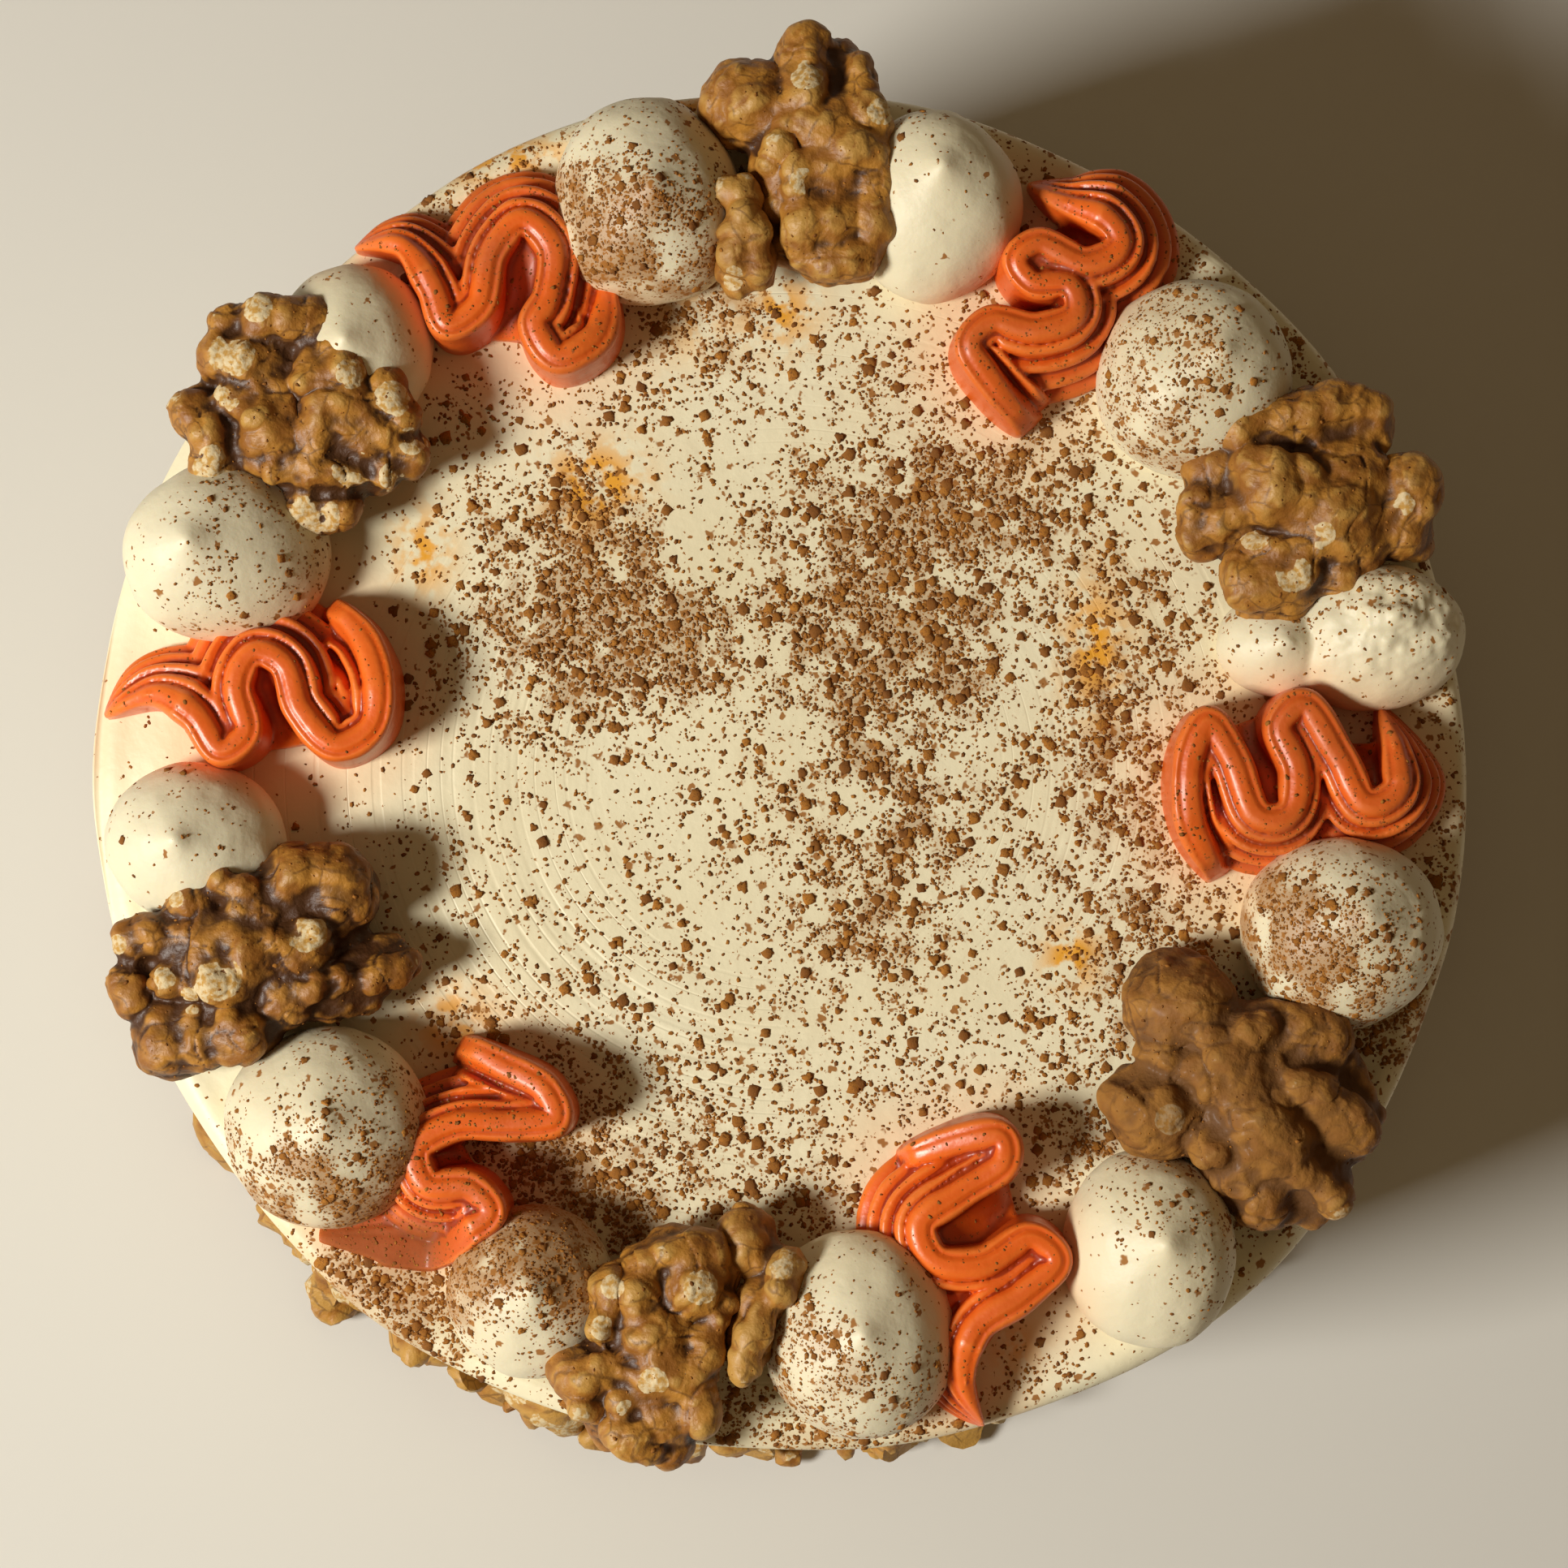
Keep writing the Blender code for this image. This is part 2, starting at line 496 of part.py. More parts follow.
def cut_clear(piece, cutters, triangles):
    """Cuts a soft piece back from each neighbour that presses into it."""
    pressing = [cutter for cutter in cutters if near(piece, cutter)]
    for cutter in pressing:
        cut = piece.modifiers.new("cut clear of " + cutter.name, "BOOLEAN")
        cut.operation = "DIFFERENCE"
        cut.solver = "MANIFOLD"
        cut.object = cutter
    if pressing:
        fuse(piece, CUTTER_VOXEL, smoothing=0)
        drop_scraps(piece)
    thin_out(piece, triangles)
    sit_flat(piece, CAKE_HEIGHT + REST_GAP)
    return piece


def make_band(collection, cutters, material):
    """Chopped walnuts round the foot: a thin sleeve with uneven chunks fused to it, denser low down."""
    inner = CAKE_RADIUS + REST_GAP
    outer = inner + BAND_THICKNESS
    top = BAND_LIFT + BAND_HEIGHT
    loop = [(inner, top), (outer, top - BAND_THICKNESS), (outer, BAND_LIFT), (inner, BAND_LIFT), (inner, top)]
    sleeve = turned("nut_band", loop, ROUND_STEPS, collection)
    turn_out(sleeve)
    draw = random.Random(CHUNK_SEED)
    chunks = bpy.data.collections.new("chunks")
    bpy.context.scene.collection.children.link(chunks)
    for i in range(CHUNK_COUNT):
        size = CHUNK_SMALL + (CHUNK_LARGE - CHUNK_SMALL) * draw.random() ** 1.6
        angle = 2 * math.pi * (i + draw.uniform(-0.4, 0.4)) / CHUNK_COUNT
        height = BAND_LIFT + size * 0.9 + (BAND_HEIGHT - size) * draw.random() ** 1.5
        reach = outer + size * draw.uniform(0.1, 0.5)
        mesh = bmesh.new()
        bmesh.ops.create_icosphere(mesh, subdivisions=1, radius=size)
        for vertex in mesh.verts:
            vertex.co *= draw.uniform(0.72, 1.12)
        data = bpy.data.meshes.new(f"chunk_{i}")
        mesh.to_mesh(data)
        mesh.free()
        spin = Matrix.Rotation(draw.uniform(0, math.pi), 4, "X") @ Matrix.Rotation(draw.uniform(0, math.pi), 4, "Z")
        shape = Matrix.Diagonal((draw.uniform(0.75, 1.0), draw.uniform(0.8, 1.2), draw.uniform(0.7, 1.1), 1.0))
        place = Matrix.Translation((reach * math.cos(angle), reach * math.sin(angle), height))
        data.transform(place @ spin @ shape)
        for vertex in data.vertices:
            vertex.co.z = max(vertex.co.z, BAND_LIFT + (0.2 + 0.3 * draw.random()) * MM)
        add_object(data.name, data, chunks)
    union = sleeve.modifiers.new("fuse chunks", "BOOLEAN")
    union.operation = "UNION"
    union.operand_type = "COLLECTION"
    union.solver = "EXACT"
    union.collection = chunks
    settle(sleeve)
    for chunk in list(chunks.objects):
        bpy.data.objects.remove(chunk)
    bpy.data.collections.remove(chunks)
    bore = [(0.0, 2 * CAKE_HEIGHT), (inner, 2 * CAKE_HEIGHT), (inner, -CAKE_HEIGHT), (0.0, -CAKE_HEIGHT)]
    plug = turned("drum_cutter", bore, ROUND_STEPS, cutters)
    plug.hide_render = True
    plug.display_type = "WIRE"
    trim = sleeve.modifiers.new("clear the drum", "BOOLEAN")
    trim.operation = "DIFFERENCE"
    trim.solver = "EXACT"
    trim.object = plug
    settle(sleeve)
    drop_scraps(sleeve)
    sleeve.data.materials.clear()
    sleeve.data.materials.append(material)
    return sleeve


def main():
    for obj in list(bpy.data.objects):
        bpy.data.objects.remove(obj)
    cake = bpy.data.collections.new("carrot_cake")
    cutters = bpy.data.collections.new("cutters")
    for collection in (cake, cutters):
        bpy.context.scene.collection.children.link(collection)
    icing = make_material("icing", ICING, 0.5)
    orange_icing = make_material("orange_icing", ORANGE_ICING, 0.35)
    walnut = make_material("walnut", WALNUT, 0.45)

    make_drum(cake, icing)
    make_band(cake, cutters, walnut)
    nuts = []
    for layout in WALNUTS:
        triangles = CHIP_TRIANGLES if "chip" in layout[1] else NUT_TRIANGLES
        nuts.append(make_nut(layout[1], layout, triangles, cake, walnut))
    nut_cutters = [make_cutter(nut, SIDE_GAP, cutters) for nut in nuts]
    for chip in nuts[6:]:
        cut_clear(chip, nut_cutters[:6], CHIP_TRIANGLES)
    ruffles = []
    for i, route in enumerate(RUFFLES):
        ruffle = make_ruffle(f"ruffle_{i + 1}", route, cake, orange_icing)
        ruffles.append(cut_clear(ruffle, nut_cutters, RUFFLE_TRIANGLES))
    ruffle_cutters = [make_cutter(ruffle, SIDE_GAP, cutters) for ruffle in ruffles]
    for i, layout in enumerate(DOLLOPS):
        dollop = make_dollop(f"dollop_{i + 1:02d}", layout, cake, icing)
        if i + 1 == DRAGGED:
            add_tail(dollop, cake, icing)
        cut_clear(dollop, nut_cutters + ruffle_cutters, DOLLOP_TRIANGLES)


main()
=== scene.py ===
"""An iced carrot cake dressed over its frame: piped dollops, piped ruffles, walnuts and cinnamon."""

import logging
import math
import random
from dataclasses import dataclass
from enum import Enum
from itertools import product
from typing import Any, List, Optional, Sequence, Tuple

import bpy
import numpy as np
from mathutils import Matrix, Vector
from mathutils.bvhtree import BVHTree

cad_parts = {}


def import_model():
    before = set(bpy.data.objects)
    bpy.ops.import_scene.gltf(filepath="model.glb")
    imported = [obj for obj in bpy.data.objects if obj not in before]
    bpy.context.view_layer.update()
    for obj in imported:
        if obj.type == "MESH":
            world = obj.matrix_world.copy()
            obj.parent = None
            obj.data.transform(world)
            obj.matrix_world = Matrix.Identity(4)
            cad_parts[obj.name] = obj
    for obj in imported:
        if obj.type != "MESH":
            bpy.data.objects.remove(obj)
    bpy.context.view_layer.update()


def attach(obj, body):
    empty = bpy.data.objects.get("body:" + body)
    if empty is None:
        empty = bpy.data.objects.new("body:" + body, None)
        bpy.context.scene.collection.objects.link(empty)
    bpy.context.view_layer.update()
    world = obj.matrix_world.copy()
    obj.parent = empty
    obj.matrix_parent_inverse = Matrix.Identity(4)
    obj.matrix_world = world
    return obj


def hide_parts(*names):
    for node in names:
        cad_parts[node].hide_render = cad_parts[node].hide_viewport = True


logging.basicConfig(level=logging.INFO, format="%(message)s")
LOG = logging.getLogger("carrot_cake")

MM = 0.001
CAKE_RADIUS = 84.5 * MM
CAKE_HEIGHT = 80.0 * MM
EYE_HEIGHT = 500.0 * MM
BODY = "root"
TURN = 6.28
HASHES = (73856093, 19349663, 83492791)
HASH_MIX = 1274126177
HASH_TOP = 0xFFFF

Colour = Tuple[float, float, float]
Lobe = Tuple[float, float, float, float, float]
Point = Tuple[float, float]
Layer = Tuple[float, float, int]


def drawn_in(x: float, y: float, rise: float) -> Point:
    """Finds where a raised point really stands.

    Args:
        x: Where it looks to be, in mm, seen from the eye above.
        y: The same along the other axis.
        rise: How far it stands over the cake's top, in metres.

    Returns:
        Its true place in metres.
    """
    nearer = 1.0 - rise / EYE_HEIGHT
    return x * MM * nearer, y * MM * nearer


def soft_noise(points: np.ndarray, size: float, seed: int = 0) -> np.ndarray:
    """Smooth noise between about -1 and 1.

    Args:
        points: Places in metres, one row each.
        size: The width of its features in metres.
        seed: Which noise it is.

    Returns:
        One value for each place.
    """
    grid = points / size + 91.7 + 17.3 * seed
    base = np.floor(grid).astype(np.int64)
    part = grid - base
    part = part * part * part * (part * (part * 6.0 - 15.0) + 10.0)
    total = np.zeros(len(points))
    for corner in product((0, 1), repeat=points.shape[1]):
        cell = base + np.array(corner)
        mixed = np.bitwise_xor.reduce([column * factor for column, factor in zip(cell.T, HASHES)])
        mixed = (mixed ^ (mixed >> 13)) * HASH_MIX
        mixed = (mixed ^ (mixed >> 16)) & HASH_TOP
        share = np.prod(np.where(corner, part, 1.0 - part), axis=1)
        total += (mixed / (HASH_TOP / 2.0) - 1.0) * share
    return total


def layered(points: np.ndarray, layers: Sequence[Layer], base: float = 0.0, seed: int = 0) -> np.ndarray:
    """Adds layers of soft noise to a value.

    Args:
        points: Places in metres, one row each.
        layers: The size in metres, the weight and the seed of each layer.
        base: The value they are added to.
        seed: What is added to every layer's seed.

    Returns:
        One value for each place.
    """
    return sum((weight * soft_noise(points, size, seed + own) for size, weight, own in layers), base)


def ease(values: np.ndarray, low: float, high: float) -> np.ndarray:
    """Rises smoothly from 0 at low to 1 at high."""
    share = np.clip((values - low) / (high - low), 0.0, 1.0)
    return share * share * (3.0 - 2.0 * share)


def clearance(points: np.ndarray, routes: Sequence[np.ndarray], stride: int) -> np.ndarray:
    """Finds how far points lie from the nearest ruffle's line, seen from above.

    Args:
        points: Places in metres.
        routes: The ruffles' middle lines.
        stride: How many of a line's places are stepped over at a time.

    Returns:
        A distance in metres for each place, 1 at most.
    """
    nearest = np.full(len(points), 1.0)
    for route in routes:
        for x, y in route[::stride]:
            nearest = np.minimum(nearest, np.hypot(points[:, 0] - x, points[:, 1] - y))
    return nearest


def any_way(draw: random.Random) -> Vector:
    """Draws a vector whose parts lie between -1 and 1."""
    return Vector((draw.uniform(-1, 1), draw.uniform(-1, 1), draw.uniform(-1, 1)))


class Bench:
    """The modelling tools, each used on one piece at a time."""

    @staticmethod
    def clear() -> None:
        """Leaves object mode with nothing selected."""
        if bpy.context.object and bpy.context.object.mode != "OBJECT":
            bpy.ops.object.mode_set(mode="OBJECT")
        bpy.ops.object.select_all(action="DESELECT")

    @staticmethod
    def take(piece: bpy.types.Object) -> None:
        """Selects one piece alone and makes it active."""
        Bench.clear()
        piece.select_set(True)
        bpy.context.view_layer.objects.active = piece

    @staticmethod
    def seat(piece: bpy.types.Object) -> bpy.types.Object:
        """Puts a piece's place, turn and size into its mesh."""
        Bench.take(piece)
        bpy.ops.object.transform_apply(location=True, rotation=True, scale=True)
        return piece

    @staticmethod
    def finish(piece: bpy.types.Object, kind: str, **settings: Any) -> bpy.types.Object:
        """Adds a modifier and applies it.

        Args:
            piece: The object it goes on.
            kind: The modifier's type.
            **settings: Its values.

        Returns:
            The same object.
        """
        Bench.take(piece)
        modifier = piece.modifiers.new(kind.lower(), kind)
        for name, value in settings.items():
            setattr(modifier, name, value)
        bpy.ops.object.modifier_apply(modifier=modifier.name)
        return piece

    @staticmethod
    def turn(name: str, profile: Sequence[Point], steps: int) -> bpy.types.Object:
        """Spins a chain of points round the upright axis.

        Args:
            name: The new object's name.
            profile: Radius and height of each point, in metres, from the top axis to the bottom axis.
            steps: How many sides it gets.

        Returns:
            The turned body.
        """
        Bench.clear()
        bpy.ops.mesh.primitive_plane_add(size=MM, location=(profile[0][0], 0.0, profile[0][1]))
        piece = bpy.context.object
        piece.name = name
        bpy.ops.object.mode_set(mode="EDIT")
        bpy.ops.mesh.select_all(action="SELECT")
        bpy.ops.mesh.merge(type="CENTER")
        for (radius, height), (wider, lower) in zip(profile, profile[1:]):
            step = (wider - radius, 0.0, lower - height)
            bpy.ops.mesh.extrude_vertices_move(TRANSFORM_OT_translate={"value": step})
        bpy.ops.mesh.select_all(action="SELECT")
        bpy.ops.mesh.spin(steps=steps, angle=2.0 * math.pi, center=(0, 0, 0), axis=(0, 0, 1))
        bpy.ops.mesh.select_all(action="SELECT")
        bpy.ops.mesh.remove_doubles(threshold=0.000001)
        bpy.ops.mesh.normals_make_consistent(inside=False)
        bpy.ops.object.mode_set(mode="OBJECT")
        return Bench.seat(piece)

    @staticmethod
    def lay_out(name: str, points: Sequence[np.ndarray], faces: Sequence[Any]) -> bpy.types.Object:
        """Makes a piece from its points and faces.

        Args:
            name: The new object's name.
            points: Blocks of points in metres.
            faces: The points' numbers round each face.

        Returns:
            The new piece.
        """
        mesh = bpy.data.meshes.new(name)
        mesh.from_pydata(np.concatenate(points).tolist(), [], faces)
        piece = bpy.data.objects.new(name, mesh)
        bpy.context.scene.collection.objects.link(piece)
        return piece

    @staticmethod
    def join(pieces: Sequence[bpy.types.Object], name: str) -> bpy.types.Object:
        """Joins pieces into the first of them."""
        Bench.take(pieces[0])
        for piece in pieces:
            piece.select_set(True)
        if len(pieces) > 1:
            bpy.ops.object.join()
        pieces[0].name = name
        return pieces[0]

    @staticmethod
    def smooth(piece: bpy.types.Object) -> bpy.types.Object:
        """Shades every face smooth."""
        Bench.take(piece)
        bpy.ops.object.shade_smooth()
        return piece


class Skin:
    """A mesh's points as arrays, to shape it and to paint values on it."""

    def __init__(self, piece: bpy.types.Object) -> None:
        """Reads a piece's points and edges."""
        self.mesh = piece.data
        self.count = len(self.mesh.vertices)
        flat = np.empty(self.count * 3)
        self.mesh.vertices.foreach_get("co", flat)
        self.points = flat.reshape(-1, 3)
        ends = np.empty(len(self.mesh.edges) * 2, np.int64)
        self.mesh.edges.foreach_get("vertices", ends)
        self.ends = ends.reshape(-1, 2)
        self.links = np.maximum(np.bincount(ends, minlength=self.count), 1)

    def normals(self) -> np.ndarray:
        """The outward direction at each point."""
        flat = np.empty(self.count * 3)
        self.mesh.vertices.foreach_get("normal", flat)
        return flat.reshape(-1, 3)

    def write(self, points: np.ndarray) -> None:
        """Moves the mesh's points."""
        self.points = points
        self.mesh.vertices.foreach_set("co", points.ravel())
        self.mesh.update()

    def spread(self, values: np.ndarray, rounds: int) -> np.ndarray:
        """Averages values with their neighbours'.

        Args:
            values: A value, or a row of values, for each point.
            rounds: How often.

        Returns:
            The softened values.
        """
        soft = values.reshape(self.count, -1).astype(float)
        first, second = self.ends[:, 0], self.ends[:, 1]
        for _ in range(rounds):
            columns = []
            for column in soft.T:
                total = np.bincount(first, column[second], self.count)
                total += np.bincount(second, column[first], self.count)
                columns.append(0.5 * column + 0.5 * total / self.links)
            soft = np.column_stack(columns)
        return soft.reshape(values.shape)

    def crest(self, rounds: int) -> np.ndarray:
        """How far each point stands out of the softened form, in mm; below 0 where it sinks in."""
        return np.sum((self.points - self.spread(self.points, rounds)) * self.normals(), axis=1) / MM

    def paint(self, name: str, values: np.ndarray) -> None:
        """Keeps a value for each point under a name that a finish reads."""
        layer = self.mesh.attributes.new(name, "FLOAT", "POINT")
        layer.data.foreach_set("value", np.clip(values, 0.0, 1.0).astype(np.float32))


class Nodes:
    """Adds and joins nodes in one node tree."""

    def __init__(self, tree: bpy.types.NodeTree) -> None:
        """Works on that tree."""
        self.tree = tree

    def add(self, kind: str, **settings: Any) -> bpy.types.Node:
        """Adds a node with those settings."""
        node = self.tree.nodes.new(kind)
        for name, value in settings.items():
            setattr(node, name, value)
        return node

    def feed(self, socket: bpy.types.NodeSocket, source: Any) -> None:
        """Links a socket to another, or sets it to a plain value."""
        if isinstance(source, bpy.types.NodeSocket):
            self.tree.links.new(source, socket)
        elif isinstance(source, tuple) and len(source) == 3 and socket.type == "RGBA":
            socket.default_value = (*source, 1.0)
        else:
            socket.default_value = source

    def math(self, operation: str, first: Any, second: Any = 0.0, clamp: bool = False) -> Any:
        """One sum on two values."""
        node = self.add("ShaderNodeMath", operation=operation, use_clamp=clamp)
        self.feed(node.inputs[0], first)
        self.feed(node.inputs[1], second)
        return node.outputs[0]

    def mix(self, share: Any, first: Any, second: Any) -> Any:
        """Mixes two colours."""
        node = self.add("ShaderNodeMix", data_type="RGBA")
        self.feed(node.inputs[0], share)
        self.feed(node.inputs[6], first)
        self.feed(node.inputs[7], second)
        return node.outputs[2]

    def between(self, value: Any, low: Any, high: Any) -> Any:
        """Rises smoothly from 0 where the value is low to 1 where it is high."""
        node = self.add("ShaderNodeMapRange", interpolation_type="SMOOTHSTEP")
        self.feed(node.inputs[0], value)
        self.feed(node.inputs[1], low)
        self.feed(node.inputs[2], high)
        return node.outputs[0]

    def noise(self, fineness: Any, detail: float = 2.0, output: str = "Fac") -> Any:
        """Noise with that many features in a metre."""
        node = self.add("ShaderNodeTexNoise")
        self.feed(node.inputs["Vector"], self.place())
        self.feed(node.inputs["Scale"], fineness)
        node.inputs["Detail"].default_value = detail
        return node.outputs[output]

    def wander(self, fineness: Any, detail: float, reach: Any) -> Any:
        """Pushes Object coordinates about with noise.

        Args:
            fineness: How many of the noise's features lie in a metre.
            detail: How far the noise goes into detail.
            reach: How far it pushes, in metres.

        Returns:
            The pushed coordinates.
        """
        shift = self.add("ShaderNodeVectorMath", operation="MULTIPLY_ADD")
        self.feed(shift.inputs[0], self.noise(fineness, detail, "Color"))
        self.feed(shift.inputs[1], reach)
        self.feed(shift.inputs[2], self.place())
        return shift.outputs[0]

    def plus(self, first: Any, second: Any, third: float, clamp: bool = False) -> Any:
        """The product of two values, and a plain value added."""
        value = self.math("MULTIPLY_ADD", first, second, clamp=clamp)
        value.node.inputs[2].default_value = third
        return value

    def place(self) -> Any:
        """Object coordinates."""
        return self.add("ShaderNodeTexCoord").outputs["Object"]

    def painted(self, name: str) -> Any:
        """A value painted on the mesh under that name."""
        return self.add("ShaderNodeAttribute", attribute_name=name).outputs["Fac"]

    def group(self, tree: bpy.types.NodeTree, **values: Any) -> Any:
        """Places a shared effect with its own values, and returns its only output."""
        node = self.add("ShaderNodeGroup", node_tree=tree)
        for name, value in values.items():
            self.feed(node.inputs[name], value)
        return node.outputs[0]


class Effects:
    """Effects that several finishes share, each a node group that is made once."""

    def __init__(self) -> None:
        """Makes every group."""
        self.speckle = self._speckle()
        self.mottle = self._mottle()

    @staticmethod
    def _open(
        name: str, sockets: Sequence[str], out: str
    ) -> Tuple[bpy.types.NodeTree, Nodes, bpy.types.Node, bpy.types.Node]:
        """Starts a group.

        Args:
            name: What it is called.
            sockets: The names of its number inputs.
            out: The name of its output.

        Returns:
            The tree, its node adder, its input node and its output node.
        """
        tree = bpy.data.node_groups.new(name, "ShaderNodeTree")
        for socket in sockets:
            tree.interface.new_socket(name=socket, in_out="INPUT", socket_type="NodeSocketFloat")
        tree.interface.new_socket(name=out, in_out="OUTPUT", socket_type="NodeSocketFloat")
        nodes = Nodes(tree)
        return tree, nodes, nodes.add("NodeGroupInput"), nodes.add("NodeGroupOutput")

    def _speckle(self) -> bpy.types.NodeTree:
        """Ragged specks of uneven size: Density is their share and Fineness how many lie in a metre."""
        tree, nodes, source, sink = self._open("speckle", ("Density", "Fineness"), "Mask")
        fineness = source.outputs["Fineness"]
        finer = nodes.math("MULTIPLY", fineness, 2.1)
        cells = nodes.add("ShaderNodeTexVoronoi")
        nodes.feed(cells.inputs["Vector"], nodes.wander(finer, 0.0, nodes.math("DIVIDE", 0.8, fineness)))
        nodes.feed(cells.inputs["Scale"], fineness)
        draw = nodes.add("ShaderNodeSeparateColor")
        nodes.feed(draw.inputs[0], cells.outputs["Color"])
        kept = nodes.math("LESS_THAN", draw.outputs[0], source.outputs["Density"])
        size = nodes.plus(draw.outputs[1], 0.42, 0.18)
        speck = nodes.between(cells.outputs["Distance"], size, nodes.math("MULTIPLY", size, 0.6))
        nodes.feed(sink.inputs[0], nodes.math("MULTIPLY", speck, kept, clamp=True))
        return tree

    def _mottle(self) -> bpy.types.NodeTree:
        """Soft uneven patches: Fineness is how many lie in a metre and Contrast how far they part."""
        tree, nodes, source, sink = self._open("mottle", ("Fineness", "Contrast"), "Value")
        patch = nodes.noise(source.outputs["Fineness"], 2.0)
        centred = nodes.math("SUBTRACT", patch, 0.5)
        nodes.feed(sink.inputs[0], nodes.plus(centred, source.outputs["Contrast"], 0.5, clamp=True))
        return tree


CINNAMON: Colour = (0.325, 0.118, 0.008)
CINNAMON_DARK: Colour = (0.200, 0.068, 0.007)
COAT_ROUGHNESS = 0.2


@dataclass(frozen=True)
class Finish:
    """A surface's name and gloss."""

    name: str
    roughness: float
    coat: float = 0.0
    bump: float = 0.4

    def begin(self) -> Tuple[bpy.types.Material, Nodes, bpy.types.Node]:
        """Makes the material with its shader and its plain values."""
        material = bpy.data.materials.new(self.name)
        material.use_nodes = True
        nodes = Nodes(material.node_tree)
        shader = material.node_tree.nodes["Principled BSDF"]
        shader.inputs["Roughness"].default_value = self.roughness
        shader.inputs["Coat Weight"].default_value = self.coat
        shader.inputs["Coat Roughness"].default_value = COAT_ROUGHNESS
        return material, nodes, shader

    def emboss(self, nodes: Nodes, shader: bpy.types.Node, height: Any, distance: float) -> None:
        """Feeds a height to the shader as relief.

        Args:
            nodes: The material's node adder.
            shader: The shader node.
            height: The height socket.
            distance: How high 1 stands, in metres.
        """
        bump = nodes.add("ShaderNodeBump")
        bump.inputs["Strength"].default_value = self.bump
        bump.inputs["Distance"].default_value = distance
        nodes.feed(bump.inputs["Height"], height)
        nodes.feed(shader.inputs["Normal"], bump.outputs[0])

    def glow(self, shader: bpy.types.Node, weight: float, depth: Colour) -> None:
        """Lets light a little way into the surface, a depth in metres for each colour."""
        shader.inputs["Subsurface Weight"].default_value = weight
        shader.inputs["Subsurface Radius"].default_value = tuple(length / depth[0] for length in depth)
        shader.inputs["Subsurface Scale"].default_value = depth[0]

    def roughen(self, nodes: Nodes, shader: bpy.types.Node, mask: Any, more: float) -> None:
        """Makes the surface duller where a mask lies."""
        nodes.feed(shader.inputs["Roughness"], nodes.plus(mask, more, self.roughness))


@dataclass(frozen=True)
class IcingFinish(Finish):
    """Cream icing that takes up dust, stains and painted orange bounce light from the ruffles, where they are
    painted.
    """

    light: Colour = (0.86, 0.80, 0.575)
    dark: Colour = (0.81, 0.715, 0.465)
    stain: Colour = (0.82, 0.38, 0.030)
    painted_bounce: Colour = (0.86, 0.50, 0.24)
    smudge: Colour = (0.42, 0.25, 0.11)
    haze: float = 0.5
    haze_from: float = 2.2
    turned: bool = False

    def mix(self, effects: Effects) -> bpy.types.Material:
        """Builds the material."""
        material, nodes, shader = self.begin()
        patch = nodes.group(effects.mottle, Fineness=45.0, Contrast=1.6)
        colour = nodes.mix(patch, self.light, self.dark)
        torn = nodes.between(nodes.noise(1.0 / (2.2 * MM), 3.0), 0.40, 0.56)
        stained = nodes.math("MULTIPLY", nodes.painted("stain"), torn, clamp=True)
        colour = nodes.mix(stained, colour, self.stain)
        # Painted bounce light: orange from the nearby ruffles, painted onto the cream.
        colour = nodes.mix(nodes.painted("painted_bounce"), colour, self.painted_bounce)
        colour = nodes.mix(nodes.math("MULTIPLY", nodes.painted("smudge"), torn), colour, self.smudge)
        dust = nodes.painted("dust")
        hazy = nodes.math("MULTIPLY", nodes.math("POWER", dust, self.haze_from), self.haze)
        colour = nodes.mix(hazy, colour, CINNAMON)
        fine = nodes.group(effects.speckle, Density=nodes.math("MULTIPLY", dust, 0.8), Fineness=2300.0)
        coarse = nodes.group(effects.speckle, Density=nodes.math("MULTIPLY", dust, 1.1), Fineness=800.0)
        specks = nodes.math("MAXIMUM", fine, coarse)
        colour = nodes.mix(nodes.math("MULTIPLY", specks, 0.95), colour, CINNAMON)
        nodes.feed(shader.inputs["Base Color"], colour)
        self.roughen(nodes, shader, specks, 0.35)
        height = nodes.noise(1.0 / (1.6 * MM), 3.0)
        if self.turned:
            height = nodes.math("ADD", height, self.rings(nodes))
        else:
            self.glow(shader, 0.12, (2.0 * MM, 1.2 * MM, 0.6 * MM))
        self.emboss(nodes, shader, height, 0.22 * MM)
        return material

    def rings(self, nodes: Nodes) -> Any:
        """Thin lines that a spatula leaves as the cake is turned, where they are painted."""
        flat = nodes.add("ShaderNodeVectorMath", operation="MULTIPLY")
        nodes.feed(flat.inputs[0], nodes.place())
        flat.inputs[1].default_value = (1.0, 1.04, 0.0)
        far = nodes.add("ShaderNodeVectorMath", operation="LENGTH")
        nodes.feed(far.inputs[0], flat.outputs[0])
        line = nodes.add("ShaderNodeTexNoise", noise_dimensions="1D")
        nodes.feed(line.inputs["W"], far.outputs["Value"])
        line.inputs["Scale"].default_value = 260.0
        line.inputs["Detail"].default_value = 1.0
        near = nodes.math("ABSOLUTE", nodes.math("SUBTRACT", line.outputs["Fac"], 0.5))
        return nodes.math("MULTIPLY", nodes.between(near, 0.0, 0.035), nodes.painted("turned"))


